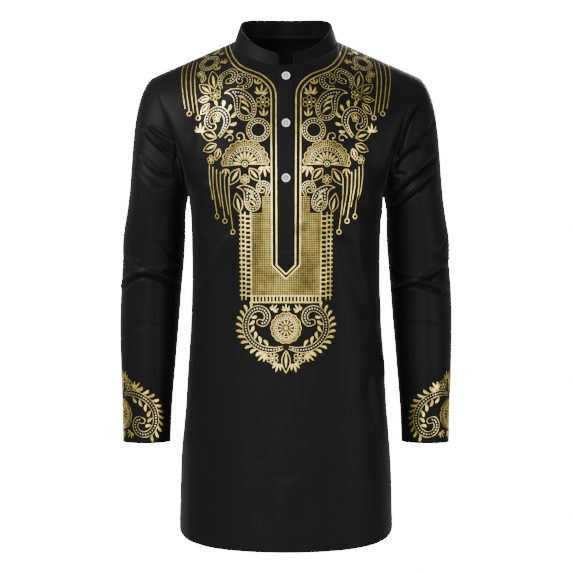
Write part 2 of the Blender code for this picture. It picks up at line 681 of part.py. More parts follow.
def placket_strip(name, lift, surface):
    """A strip down the front with a pointed end, made from the front's own points moved out."""
    reach = across_at(PLACKET_HALF_WIDTH)
    columns = np.linspace(-1, 1, 5) * reach
    rows = np.linspace(0, 1, PLACKET_ROWS + 1)
    u, share = np.meshgrid(columns, rows)
    tip = (PLACKET_TIP_Z - HEM_FRONT_Z) / (ARMPIT_Z - HEM_FRONT_Z) * ARMPIT_ROW
    point = PLACKET_POINT / (ARMPIT_Z - HEM_FRONT_Z) * ARMPIT_ROW
    low = tip + point * np.abs(u) / reach
    v = low + (PLACKET_TOP - low) * share
    on_form = panel_point("front", u, v)
    normals = outward(lambda a, b: panel_point("front", a, b), u, v, body_axis)
    outer = on_form + normals * (lift + PLACKET_CLOTH)
    return wall(name, outer, outer - normals * PLACKET_CLOTH, surface)


def front_place(height):
    """(point, normal) of the placket's face at a height on the centre front."""
    low, high = 0.0, 1.0
    while high - low > WELD:
        middle = (low + high) / 2
        below = panel_point("front", 0.0, middle)[2] < height
        low, high = (middle, high) if below else (low, middle)
    u, v = np.zeros(1), np.array([low])
    normal = outward(lambda a, b: panel_point("front", a, b), u, v, body_axis)[0]
    face = FACE_GAP + PLACKET_CLOTH + FACE_GAP
    return panel_point("front", u, v)[0] + normal * face, normal


def button(number, height, surface, cutters):
    """A turned disc with a raised rim and four holes, flat on the placket."""
    profile = [(out * BUTTON_RADIUS, 0, up * BUTTON_THICK) for out, up in BUTTON_PROFILE]
    name = f"button_{number}"
    mesh = bpy.data.meshes.new(name)
    mesh.from_pydata(profile, [(i, i + 1) for i in range(len(profile) - 1)], [])
    mesh.materials.append(surface)
    made = bpy.data.objects.new(name, mesh)
    bpy.data.collections[SHIRT_NAME].objects.link(made)
    turn = made.modifiers.new("turned", "SCREW")
    turn.steps = turn.render_steps = BUTTON_STEPS
    turn.use_merge_vertices = True
    turn.merge_threshold = MERGE
    weld = made.modifiers.new("centre", "WELD")
    weld.merge_threshold = MERGE
    place, normal = front_place(height)
    for k in range(4):
        corner = math.pi / 4 + k * math.pi / 2
        drill_mesh = bpy.data.meshes.new(f"{name}_drill_{k}")
        drill = bmesh.new()
        bmesh.ops.create_cone(
            drill,
            cap_ends=True,
            segments=HOLE_STEPS,
            radius1=BUTTON_HOLE_RADIUS,
            radius2=BUTTON_HOLE_RADIUS,
            depth=BUTTON_THICK * 4,
        )
        away = BUTTON_HOLE_SPACING / math.sqrt(2)
        bmesh.ops.translate(
            drill, verts=drill.verts, vec=(away * math.cos(corner), away * math.sin(corner), 0)
        )
        drill.to_mesh(drill_mesh)
        drill.free()
        cutter = bpy.data.objects.new(f"{name}_drill_{k}", drill_mesh)
        cutter.hide_render = True
        cutter.display_type = "WIRE"
        cutters.objects.link(cutter)
        cutter.parent = made
        cut = made.modifiers.new(f"hole_{k}", "BOOLEAN")
        cut.operation = "DIFFERENCE"
        cut.object = cutter
    made.rotation_mode = "QUATERNION"
    made.rotation_quaternion = Vector(normal).to_track_quat("Z", "Y")
    made.location = place
    return made


def label(name, collar, surface):
    """A flat label on the inside of the collar's back, following the collar's own points."""
    wide, high = LABEL_SIZE
    stand = np.linalg.norm(collar_top_point(np.full(1, 2.0)) - neck_point(np.full(1, 2.0)))
    low = (1 - high / stand) * LABEL_RAISED
    outer, normals = collar_grid(collar, np.array([low, low + high / stand]))
    half_turn = wide / 2 / COLLAR_TOP_BACK / (math.pi / 2)
    ends = [2 - half_turn, 2 + half_turn]
    turns = np.sort([*ends, *collar[np.abs(collar - 2) < half_turn]])
    layers = []
    for inside in (COLLAR_CLOTH + FACE_GAP, COLLAR_CLOTH + FACE_GAP + LABEL_CLOTH):
        face = outer - normals * inside
        rows = [[np.interp(turns, collar, row[:, axis]) for axis in range(3)] for row in face]
        layers.append(np.moveaxis(np.array(rows), 1, 2))
    return wall(name, *layers, surface)


# ---------------------------------------------------------------- the shirt


def build():
    clear_scene()
    new_collection(SHIRT_NAME)
    cutters = new_collection(CUTTERS_NAME)
    cloth = material("black_cloth", *BLACK_CLOTH)
    label_cloth = material("label_cloth", *LABEL_BLACK)
    shell = material("button_white", *BUTTON_WHITE)

    rows = panel_rows()
    slot = across_at(SLOT_HALF_WIDTH)
    strip = across_at(PLACKET_HALF_WIDTH)
    front_columns = panel_columns(own=(slot, strip))
    back_columns = panel_columns()
    panel_wall("front", "front", front_columns, rows, cloth, slot=slot, slot_end=SLOT_END_Z)
    panel_wall("back", "back", back_columns, rows, cloth)
    for name, side in (("sleeve_left", 1), ("sleeve_right", -1)):
        sleeve_wall(name, side, cloth)
    collar = collar_turns(front_columns, back_columns)
    collar_wall(collar, cloth)
    placket_strip("placket_over", FACE_GAP, cloth)
    placket_strip("placket_under", -CLOTH - FACE_GAP - PLACKET_CLOTH, cloth)
    for number, height in enumerate(BUTTON_HEIGHTS, 1):
        button(number, height, shell, cutters)
    label("neck_label", collar, label_cloth)


build()
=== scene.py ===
# %% [markdown]
# # A long-sleeved dashiki shirt
#
# A dashiki is a loose pullover tunic with a printed or embroidered yoke round its neck. This
# one is cut from black cloth: a front, a back, two sleeves, a stand collar and a half
# placket with three buttons, with a gold foil print on its chest and above its cuffs.
#
# The frame comes first. It holds the solids that physics uses, in metres, with +Z up and the
# front towards -Y. Every piece that follows is made straight in that space, and the cut sizes
# of the pieces are listed at the end.

# %% Load the frame
import json
import math

import bpy
import numpy as np
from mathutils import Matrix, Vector
from mathutils.bvhtree import BVHTree

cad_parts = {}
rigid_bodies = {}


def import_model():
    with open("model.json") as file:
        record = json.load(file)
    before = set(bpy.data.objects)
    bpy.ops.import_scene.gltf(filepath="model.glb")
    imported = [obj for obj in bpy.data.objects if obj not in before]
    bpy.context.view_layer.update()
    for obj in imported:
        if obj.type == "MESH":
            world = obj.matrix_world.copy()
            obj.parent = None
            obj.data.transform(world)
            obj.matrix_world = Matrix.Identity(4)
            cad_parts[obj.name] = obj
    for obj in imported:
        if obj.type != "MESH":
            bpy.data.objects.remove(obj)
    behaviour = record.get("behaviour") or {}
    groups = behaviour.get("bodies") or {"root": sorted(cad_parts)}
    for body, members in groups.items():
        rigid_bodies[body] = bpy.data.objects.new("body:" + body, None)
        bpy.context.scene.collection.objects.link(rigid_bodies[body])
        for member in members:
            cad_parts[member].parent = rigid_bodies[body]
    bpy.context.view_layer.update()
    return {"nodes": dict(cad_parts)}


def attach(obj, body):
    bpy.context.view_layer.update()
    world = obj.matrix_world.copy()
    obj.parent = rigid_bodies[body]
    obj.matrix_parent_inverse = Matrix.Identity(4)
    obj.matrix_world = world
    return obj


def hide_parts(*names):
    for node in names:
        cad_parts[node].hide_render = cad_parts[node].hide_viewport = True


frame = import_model()
bpy.ops.object.select_all(action="DESELECT")
print("nodes:", sorted(frame["nodes"]))

# %% [markdown]
# Three small helpers are used all through: one puts a new shape in the scene, one picks a
# single shape to work on, and one hangs a finished piece on the shirt's body and hides the
# solid it stands for.


# %% What every piece needs
def placed(name, mesh):
    made = bpy.data.objects.new(name, mesh)
    bpy.context.scene.collection.objects.link(made)
    return made


def alone(thing, mode="OBJECT"):
    # Operators work on what is selected, so one thing is picked and nothing else.
    bpy.ops.object.select_all(action="DESELECT")
    bpy.context.view_layer.objects.active = thing
    thing.select_set(True)
    if mode == "EDIT":
        bpy.ops.object.mode_set(mode="EDIT")


def shirt_piece(piece, slot, *solid):
    # Every piece rides on the shirt's one body, and most of them stand for a solid.
    if solid:
        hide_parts(*solid)
    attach(piece, "root")
    return piece


# %% [markdown]
# ## The camera
#
# The shirt is seen straight from the front, from a little below its middle, through a long
# lens. A long lens far away keeps the sleeves and the hem from looking bent, which is why
# clothes are shown this way. The lens is worked out from the width of the view.

# %% Place the camera
CAMERA_PLACE = (0.0008, -2.4, -0.4016)
VIEW_WIDTH = 0.9569  # metres across the view at the shirt's middle
SENSOR = 36.0

bpy.ops.object.camera_add(location=CAMERA_PLACE, rotation=(math.pi / 2, 0, 0))
camera = bpy.context.object
camera.name = "camera"
camera.data.sensor_width = SENSOR
camera.data.lens = SENSOR * -CAMERA_PLACE[1] / VIEW_WIDTH
bpy.context.scene.camera = camera
print(f"lens {camera.data.lens:.1f} mm")

# %% [markdown]
# ## Numbers and curves
#
# Cloth is a smooth form with a few measured sections. These helpers turn short tables into
# smooth curves: `read` runs a smooth curve through the rows of a table, `hermite` joins two
# points along two given slopes, and `smooth` eases from 0 to 1. They work on whole arrays of
# points at once with numpy, because one panel has tens of thousands of them.


# %% Curves through tables
TAU = 2 * math.pi


def smooth(share):
    share = np.clip(share, 0.0, 1.0)
    return share * share * (3 - 2 * share)


def hermite(start, leave, end, arrive, t):
    return (
        (2 * t**3 - 3 * t**2 + 1) * start
        + (t**3 - 2 * t**2 + t) * leave
        + (3 * t**2 - 2 * t**3) * end
        + (t**3 - t**2) * arrive
    )


def read(table, place):
    rows = np.array(sorted(table), float)
    places, values = rows[:, 0], rows[:, 1:]
    slopes = np.gradient(values, places, axis=0)
    place = np.clip(np.asarray(place, float), places[0], places[-1])
    row = np.clip(np.searchsorted(places, place) - 1, 0, len(places) - 2)
    long = (places[row + 1] - places[row])[..., None]
    t = (place - places[row])[..., None] / long
    found = hermite(values[row], slopes[row] * long, values[row + 1], slopes[row + 1] * long, t)
    return np.moveaxis(found, -1, 0)


def points(*parts):
    return np.stack(np.broadcast_arrays(*parts), -1)


def unit(vectors):
    return vectors / np.maximum(np.linalg.norm(vectors, axis=-1, keepdims=True), 1e-12)


# %% [markdown]
# ## The form of the body
#
# The front and the back are one barrel below the arms: sections that are wider than deep and
# a little square, given at nine heights. Above the arms each panel rises to the neck seam and
# to the shoulder seam, and its side edge bends to the armhole. `panel_point` gives any point
# of a panel: `across` runs from -1 to 1 between its side edges, and `up` from 0 at the hem to
# 1 at the shoulder. Both panels meet exactly along every seam, because they share its points.

# %% Sections and seams of the body
ARMPIT_Z = -0.250
AXIS_TOP_Z = -0.160  # the cloth faces away from a line up the middle, which ends here
HEM_Z = {"front": -0.823, "back": -0.826}
HEM_SIDE_RISE, HEM_CORNER_RISE = 0.026, 0.004  # the hem is higher at its sides
ARMPIT_ROW = 0.60  # how far up a panel its armpits are
BODY_SECTIONS = (
    # height, half width, front depth, back depth, squareness
    (-0.840, 0.1780, 0.129, 0.125, 0.16),
    (-0.763, 0.1765, 0.127, 0.122, 0.16),
    (-0.680, 0.1738, 0.124, 0.118, 0.16),
    (-0.596, 0.1670, 0.120, 0.112, 0.16),
    (-0.496, 0.1605, 0.117, 0.102, 0.17),
    (-0.429, 0.1572, 0.117, 0.097, 0.18),
    (-0.346, 0.1566, 0.119, 0.097, 0.20),
    (-0.279, 0.1592, 0.121, 0.100, 0.21),
    (-0.250, 0.1625, 0.121, 0.102, 0.21),
)
NECK_HALF_WIDTH, NECK_FRONT, NECK_BACK = 0.086, 0.085, 0.075
NECK_SIDE_Z, NECK_TILT, NECK_BOW = 0.008, 0.416, 2.44  # the seam dips towards the front
SHOULDER_TIP = (0.221, 0.002, -0.0510)
# Where the neck meets the shoulder the top edge has a corner, which is rounded lower down.
CORNER_START, CORNER_SHIFTS = 0.50, np.linspace(-0.20, 0.20, 9)
# The share of the half width that ends at the neck, and how evenly it is spread there.
NECK_SHARE, NECK_EVEN = 0.42, 0.9
# How the cloth arrives at the neck's middle, the neck's corner and the shoulder's tip, as
# slopes inward and upward.
RISE_TO_NECK = {"front": (0.10, 0.16), "back": (0.13, 0.12)}
ROLL_AT_NECK = {"front": (0.26, 0.108), "back": (0.30, -0.045)}
ROLL_AT_TIP = 0.21
ARMHOLE_EASE = 0.50  # share of the half width that bends towards the armhole
ARMPIT_TURN = 0.15  # share of the armhole where the cloth turns to face down
ARMHOLE = {
    "front": (
        # share of the way up, x, y, z
        (0.00, 0.1625, 0.000, -0.2500),
        (0.14, 0.1640, -0.031, -0.2400),
        (0.32, 0.1690, -0.058, -0.2080),
        (0.52, 0.1825, -0.066, -0.1600),
        (0.70, 0.1975, -0.058, -0.1160),
        (0.84, 0.2095, -0.041, -0.0820),
        (0.94, 0.2175, -0.018, -0.0590),
        (1.00, 0.2210, 0.002, -0.0510),
    ),
    "back": (
        (0.00, 0.1625, 0.000, -0.2500),
        (0.14, 0.1640, 0.034, -0.2380),
        (0.32, 0.1690, 0.064, -0.2000),
        (0.52, 0.1790, 0.076, -0.1510),
        (0.70, 0.1935, 0.068, -0.1070),
        (0.84, 0.2065, 0.049, -0.0760),
        (0.94, 0.2165, 0.023, -0.0570),
        (1.00, 0.2210, 0.002, -0.0510),
    ),
}
SLOPE_STEP, STEP, NEAR = 0.01, 1e-4, 1e-6  # for slopes, for normals, and for what is equal


# %% The body's points
def body_point(height, turn):
    half_width, front, back, square = read(BODY_SECTIONS, height)
    sine, cosine = np.sin(turn * math.pi / 2), np.cos(turn * math.pi / 2)
    depth = np.where(cosine >= 0, front, back)
    x = half_width * sine * (1 + square * cosine**2)
    return points(x, -depth * cosine * (1 + square * sine**2), height)


def neck_point(turn):
    angle = turn * math.pi / 2
    y = -np.where(np.cos(angle) >= 0, NECK_FRONT, NECK_BACK) * np.cos(angle)
    z = NECK_SIDE_Z + NECK_TILT * y - NECK_BOW * y**2
    return points(NECK_HALF_WIDTH * np.sin(angle), y, z)


def armhole_point(face, side, up):
    x, y, z = read(ARMHOLE[face], up)
    return points(side * x, y, z)


def quarter_turns(face, across):
    return across if face == "front" else np.where(across < 0, -2 - across, 2 - across)


def neck_turn(across):
    share = np.clip(np.abs(across) / NECK_SHARE, 0, 1)
    return NECK_EVEN * share + (1 - NECK_EVEN) * share**3


def top_edge(face, across):
    across = np.clip(across, -1, 1)
    side = np.where(across < 0, -1.0, 1.0)
    neck = neck_point(side * quarter_turns(face, neck_turn(across)))
    out = np.clip((np.abs(across) - NECK_SHARE) / (1 - NECK_SHARE), 0, 1)[..., None]
    tip = points(side * SHOULDER_TIP[0], SHOULDER_TIP[1], SHOULDER_TIP[2])
    return neck + (tip - neck) * out


def rising(face, across, t):
    turn = quarter_turns(face, across)
    chest = body_point(np.full_like(across, ARMPIT_Z), turn)
    below = body_point(np.full_like(across, ARMPIT_Z - SLOPE_STEP), turn)
    slope = (chest - below) / SLOPE_STEP
    rounded = sum(top_edge(face, across + shift) for shift in CORNER_SHIFTS) / len(CORNER_SHIFTS)
    near_top = smooth((t - CORNER_START) / (1 - CORNER_START))[..., None]
    top = rounded + (top_edge(face, across) - rounded) * near_top
    back_way = 1.0 if face == "front" else -1.0
    middle, corner, shoulder = (
        points(0 * across, back_way * inward, upward)
        for inward, upward in (RISE_TO_NECK[face], ROLL_AT_NECK[face], (ROLL_AT_TIP, 0))
    )
    facing = np.sin(neck_turn(across) * math.pi / 2)[..., None] ** 2
    out = np.clip((np.abs(across) - NECK_SHARE) / (1 - NECK_SHARE), 0, 1)[..., None]
    arrive = middle + (corner - middle) * facing + (shoulder - corner) * smooth(out)
    return hermite(chest, slope * (top[..., 2:] - ARMPIT_Z), top, arrive, t[..., None])


def panel_point(face, across, up):
    across, up = np.broadcast_arrays(np.asarray(across, float), np.asarray(up, float))
    side, share = np.where(across < 0, -1.0, 1.0), np.abs(across)
    hem = HEM_Z[face] + HEM_SIDE_RISE * share**2 + HEM_CORNER_RISE * share**8
    height = hem + (ARMPIT_Z - hem) * np.clip(up / ARMPIT_ROW, 0, 1)
    below = body_point(height, quarter_turns(face, across))
    t = np.clip((up - ARMPIT_ROW) / (1 - ARMPIT_ROW), 0, 1)
    bend = smooth((share - (1 - ARMHOLE_EASE)) / ARMHOLE_EASE)[..., None]
    above = rising(face, across, t)
    above = above + (armhole_point(face, side, t) - rising(face, side, t)) * bend
    return np.where((up > ARMPIT_ROW)[..., None], above, below)


chest_line = body_point(np.full(200, ARMPIT_Z), np.linspace(-2, 2, 200))
girth = np.linalg.norm(np.diff(chest_line, axis=0), axis=1).sum()
long = NECK_SIDE_Z - HEM_Z["front"]
print(f"body: {girth:.3f} m round the chest, {long:.3f} m from the neck's side to the hem")

# %% [markdown]
# ## The form of a sleeve
#
# A set-in sleeve is a tapering tube with a rounded cap that is sewn into the armhole. Its
# sections shift forward towards the wrist, as an arm hangs. `around` runs from the armpit by
# the front, the shoulder tip and the back; `down` runs from the armhole to the cuff.

# %% Sections and points of a sleeve
SLEEVE_SECTIONS = (
    # height, centre x, centre y, half width, half depth
    (-0.279, 0.2165, 0.003, 0.0490, 0.070),
    (-0.325, 0.2205, 0.006, 0.0520, 0.067),
    (-0.360, 0.2220, 0.008, 0.0510, 0.065),
    (-0.405, 0.2255, 0.009, 0.0505, 0.062),
    (-0.460, 0.2282, 0.006, 0.0492, 0.058),
    (-0.530, 0.2298, -0.001, 0.0456, 0.052),
    (-0.600, 0.2308, -0.008, 0.0413, 0.045),
    (-0.658, 0.2310, -0.014, 0.0396, 0.041),
)
CAP_ROW = 0.40  # how far down a sleeve its cap ends
# Which way the cap leaves the armhole: at its top, at its sides and under the arm.
CAP_LEAVE_TOP = (0.125, 0.0, -0.10)
CAP_LEAVE_SIDE = (0.055, 0.035, -0.10)
CAP_LEAVE_UNDER = (0.004, 0.0, -0.03)
CAP_Z, CUFF_Z = SLEEVE_SECTIONS[0][0], SLEEVE_SECTIONS[-1][0]


def sleeve_point(side, around, down):
    around, down = np.broadcast_arrays(np.asarray(around, float), np.asarray(down, float))
    around = around % 1.0
    height = CAP_Z + (CUFF_Z - CAP_Z) * np.clip((down - CAP_ROW) / (1 - CAP_ROW), 0, 1)
    sine, cosine = np.sin(TAU * around), np.cos(TAU * around)

    def ring(z):
        cx, cy, half_width, half_depth = read(SLEEVE_SECTIONS, z)
        return points(side * (cx - half_width * cosine), cy - half_depth * sine, z)

    up = np.where(around <= 0.5, 2 * around, 2 - 2 * around)
    in_front = (around <= 0.5)[..., None]
    start = np.where(in_front, armhole_point("front", side, up), armhole_point("back", side, up))
    end = ring(np.full_like(around, CAP_Z))
    slope = (ring(np.full_like(around, CAP_Z - SLOPE_STEP)) - end) / SLOPE_STEP
    top = smooth(np.clip(-cosine, 0, 1))[..., None]
    under = smooth(np.clip(cosine, 0, 1))[..., None]
    out, away, drop = CAP_LEAVE_SIDE
    leave_side = points(side * out + 0 * sine, -np.sign(sine) * away, drop)
    leave_top = np.array(CAP_LEAVE_TOP) * (side, 1, 1)
    leave_under = np.array(CAP_LEAVE_UNDER) * (side, 1, 1)
    leave = leave_side * (1 - top) * (1 - under) + leave_top * top + leave_under * under
    arrive = slope * np.linalg.norm(end - start, axis=-1, keepdims=True)
    t = np.clip(down / CAP_ROW, 0, 1)[..., None]
    cap = hermite(start, leave, end, arrive, t)
    return np.where((down > CAP_ROW)[..., None], ring(height), cap)


print(f"sleeve: {CAP_Z - CUFF_Z:.3f} m from the foot of its cap to the cuff")

# %% [markdown]
# ## Which way the cloth faces
#
# Creases push the cloth along its normal, and a wall gets its thickness the same way. The
# normals are measured by small steps on the form. Along the armhole the panel and the sleeve
# share one direction, so that both cloths stay joined there however thick they are.


# %% Normals
def body_axis(at):
    return points(0 * at[..., 0], 0 * at[..., 1], np.minimum(at[..., 2], AXIS_TOP_Z))


def panel_normal(face, u, v):
    step_u = np.where(u > 0, -STEP, STEP)
    step_v = np.where(v > 0.5, -STEP, STEP)
    here = panel_point(face, u, v)
    along_u = (panel_point(face, u + step_u, v) - here) / step_u[..., None]
    along_v = (panel_point(face, u, v + step_v) - here) / step_v[..., None]
    normal = unit(np.cross(along_u, along_v))
    turned = np.sign(((here - body_axis(here)) * normal).sum(-1, keepdims=True))
    return normal * np.where(turned == 0, 1, turned)


def sleeve_normal(side, around, down):
    step_down = np.where(down > 0.5, -STEP, STEP)
    along = sleeve_point(side, around + STEP, down) - sleeve_point(side, around - STEP, down)
    here = sleeve_point(side, around, down)
    along_down = (sleeve_point(side, around, down + step_down) - here) / step_down[..., None]
    return unit(np.cross(along, along_down)) * -side


def shoulder_normal(side):
    drop = neck_point(np.ones(1))[0, 2] - SHOULDER_TIP[2]
    return unit(points(side * drop, 0, SHOULDER_TIP[0] - NECK_HALF_WIDTH))


def armhole_normal(face, side, up):
    v = ARMPIT_ROW + (1 - ARMPIT_ROW) * up
    panel = panel_normal(face, np.full_like(up, side), v)
    panel = np.where((up > 1 - NEAR)[..., None], shoulder_normal(side), panel)
    around = up / 2 if face == "front" else 1 - up / 2
    sleeve = sleeve_normal(side, around, np.zeros_like(up))
    down = points(0 * up, 0 * up, -np.clip(1 - up / ARMPIT_TURN, 0, 1))
    return unit(panel + sleeve + down)


# %% [markdown]
# ## Creases
#
# Cloth on a body creases where it is pulled or has to bend: at the elbows, from the armpits,
# and in long soft folds towards the hem. A simulation would put them anywhere, so each main
# crease is given one by one. It is a curve through three points seen from the front, with a
# depth and a half width: a trough with a lower ridge beside it, or a ridge alone where the
# depth is negative. They are uneven on purpose, and the back has its own.

# %% The table of creases
CREASES = {
    # three points as x and z, depth, half width, all in mm
    "front": (
        (-88, -318, -106, -350, -140, -412, -2.6, 7),
        (93, -315, 108, -385, 142, -470, 4, 16),
        (133, -450, 150, -500, 154, -562, -3.5, 8),
        (134, -540, 141, -600, 153, -650, 4, 10),
        (0, -700, 0, -760, 0, -830, -2.2, 18),
        (118, -255, 128, -275, 140, -300, 3, 16),
        (-128, -640, -130, -730, -136, -830, 2.8, 18),
        (-150, -150, -153, -185, -156, -222, -1.6, 8),
        (-128, -232, -134, -250, -142, -268, -1.4, 7),
        (-128, -314, -136, -330, -142, -352, -1.4, 7),
        (-80, -636, -98, -662, -116, -690, 0.7, 8),
        (-36, -660, -34, -725, -34, -790, 1.3, 16),
        (64, -690, 70, -750, 74, -826, 1.4, 18),
        (-62, -255, -56, -310, -66, -385, 1, 15),
        (26, -300, 40, -355, 52, -420, 1.4, 18),
        (-38, -262, -30, -330, -28, -400, -0.7, 15),
        (150, -512, 156, -560, 152, -640, -1.8, 8),
    ),
    "back": (
        (-120, -270, -90, -330, -75, -420, 3.5, 16),
        (122, -265, 95, -330, 70, -400, 3, 14),
        (-40, -480, -52, -600, -60, -830, 4.5, 22),
        (50, -520, 58, -650, 66, -830, 4.2, 22),
        (2, -430, 4, -560, 0, -800, -2.5, 20),
        (-150, -300, -128, -345, -118, -410, 1.6, 9),
        (146, -310, 124, -352, 112, -430, 1.5, 9),
        (-105, -620, -112, -700, -116, -800, 1.5, 14),
        (112, -600, 116, -690, 124, -790, 1.4, 14),
        (-60, -90, -85, -130, -120, -165, 1.2, 11),
        (62, -85, 90, -125, 118, -170, 1.2, 11),
    ),
    "sleeve_left front": (
        (220, -96, 194, -146, 174, -224, 6.2, 4.6),
        (245, -128, 233, -144, 216, -157, 3.8, 3.7),
        (222, -168, 197, -183, 174, -212, 6.2, 3.7),
        (248, -188, 212, -219, 171, -256, 6.8, 4.3),
        (245, -213, 212, -245, 174, -275, 6, 4.2),
        (174, -218, 184, -218, 196, -222, 3.8, 3.1),
        (266, -318, 258, -336, 243, -354, 3.2, 4.3),
        (276, -357, 247, -378, 212, -393, 6.8, 4.6),
        (176, -412, 212, -398, 276, -421, 6.8, 4.6),
        (178, -372, 192, -384, 212, -390, 2.9, 3.7),
        (196, -470, 228, -462, 256, -474, 0.7, 6.2),
    ),
    "sleeve_left back": (
        (184, -250, 205, -215, 236, -190, 3.6, 9),
        (178, -372, 220, -392, 266, -384, 3.6, 8),
        (184, -432, 224, -424, 264, -446, 3, 8),
        (190, -322, 226, -334, 258, -322, 1.4, 9),
        (198, -500, 230, -492, 258, -508, 1.2, 10),
    ),
    "sleeve_right front": (
        (-238, -136, -214, -166, -180, -190, 6, 4.2),
        (-223, -140, -206, -154, -180, -167, 3.6, 3.6),
        (-240, -178, -217, -210, -182, -225, 5.4, 4),
        (-245, -205, -226, -226, -198, -244, 3.8, 3.7),
        (-172, -176, -178, -206, -170, -240, 4.9, 4.3),
        (-270, -346, -262, -360, -250, -372, 4.3, 3.1),
        (-264, -346, -254, -360, -240, -369, 3.2, 3.1),
        (-214, -325, -194, -342, -176, -364, 3.5, 3.7),
        (-276, -413, -230, -382, -173, -413, 6.8, 4.6),
        (-220, -383, -197, -371, -178, -363, -2.3, 3.7),
        (-204, -470, -230, -462, -258, -472, 0.7, 6.2),
    ),
    "sleeve_right back": (
        (-184, -246, -207, -214, -238, -192, 3.4, 9),
        (-180, -366, -222, -388, -266, -376, 3.8, 8),
        (-184, -440, -224, -428, -264, -438, 2.8, 8),
        (-192, -318, -226, -330, -256, -320, 1.4, 9),
        (-196, -505, -230, -495, -258, -503, 1.2, 10),
    ),
}
CREASE_REACH = 4  # half widths: farther off it isn't felt
RIDGE_SHARE, RIDGE_AWAY, RIDGE_WIDE = 0.60, 1.1, 0.8  # the ridge beside a trough
CREASE_FADE = 0.16  # share of a crease over which each end dies away
SOFT_FROM = 0.026  # a narrower crease has a sharp side, where the cloth hangs over it
FINEST = 0.0027  # the narrowest side that the grid of a piece can show
CREASE_STEPS = np.linspace(0, 1, 97)
# Creases die away over these shares: at the sides, at the top, at a sleeve's cap, and under
# the arm and at a sleeve's outer line.
SEAM_CALM, TOP_CALM, CAP_CALM, SIDE_CALM = 0.06, 0.04, 0.022, 0.16
RUMPLE = 0.0004  # height of the small waves that are all over worn cloth
RUMPLE_WAVES = (
    # waves per metre across and down, start, share
    (9.1, 5.3, 0.4, 0.40),
    (-13.7, 8.9, 2.1, 0.28),
    (21.3, -10.1, 4.0, 0.18),
    (6.7, 24.9, 1.3, 0.14),
)


# %% How deep the creases are
def crease_depth(name, x, z):
    # How far the cloth is pushed in at points that are seen from the front.
    at, moved, steps = np.stack([x, z], -1), np.zeros(np.shape(x)), CREASE_STEPS[:, None]
    for *ends, depth, wide in np.array(CREASES[name]) / 1000:
        first, through, last = np.reshape(ends, (3, 2))
        handle = 2 * through - (first + last) / 2
        line = (1 - steps) ** 2 * first + 2 * steps * (1 - steps) * handle + steps**2 * last
        reach = np.ptp(line, axis=0) + CREASE_REACH * wide
        near = (np.abs(at - line.mean(0)) < reach).all(-1)
        far = np.linalg.norm(at[near][:, None] - line, axis=-1)
        nearest, away = far.argmin(-1), far.min(-1)
        ahead, off = np.gradient(line, axis=0)[nearest], at[near] - line[nearest]
        left = ahead[:, 0] * off[:, 1] - ahead[:, 1] * off[:, 0]
        above = np.where(left < 0, -1, 1) * (1 if last[0] >= first[0] else -1)
        along = CREASE_STEPS[nearest]
        fade = smooth(along / CREASE_FADE) * smooth((1 - along) / CREASE_FADE)
        edge = min(1.0, max(wide / SOFT_FROM, FINEST / wide))
        sharp = np.where(above > 0, edge, 1.0) if depth > 0 else 1.0
        trough = np.exp(-((away / wide / sharp) ** 2))
        ridge = RIDGE_SHARE * np.exp(-(((above * away / wide - RIDGE_AWAY) / RIDGE_WIDE) ** 2))
        moved[near] += depth * fade * (trough - (ridge if depth > 0 else 0))
    return moved


def rumple(x, z, seed):
    waves = (
        share * np.sin(TAU * (across * x + down * z) + start * seed)
        for across, down, start, share in RUMPLE_WAVES
    )
    return RUMPLE * sum(waves)


print("creases:", {name: len(table) for name, table in CREASES.items()})


# %% [markdown]
# ## Cloth from rows and columns
#
# A panel could be modelled by subdividing a plane and pulling it into place, but it has to
# meet its neighbours on the same points along curved seams. So each cloth piece is a grid of
# rows and columns whose points come from the form, and mesh code joins them into faces. The
# inner side is the same grid moved in by the cloth's thickness, and the rim closes the wall.
# The faces carry a UV map of the flat cut piece, in metres, so that the weave runs with it.


# %% Make a wall of cloth
SHADE_ANGLE = math.radians(50)  # edges that bend more than this are shaded as sharp


def rim_of(present):
    # The grid edges that belong to exactly one face, each in the direction of that face.
    padded, rims = np.pad(present, 1), []
    beside = ((0, 1), (1, 2), (2, 1), (1, 0))  # the faces above, right, below and left
    for row, column in np.argwhere(present):
        ring = (row, column), (row, column + 1), (row + 1, column + 1), (row + 1, column)
        for k, (down, right) in enumerate(beside):
            if not padded[row + down, column + right]:
                rims.append((ring[k], ring[(k + 1) % 4]))
    return rims


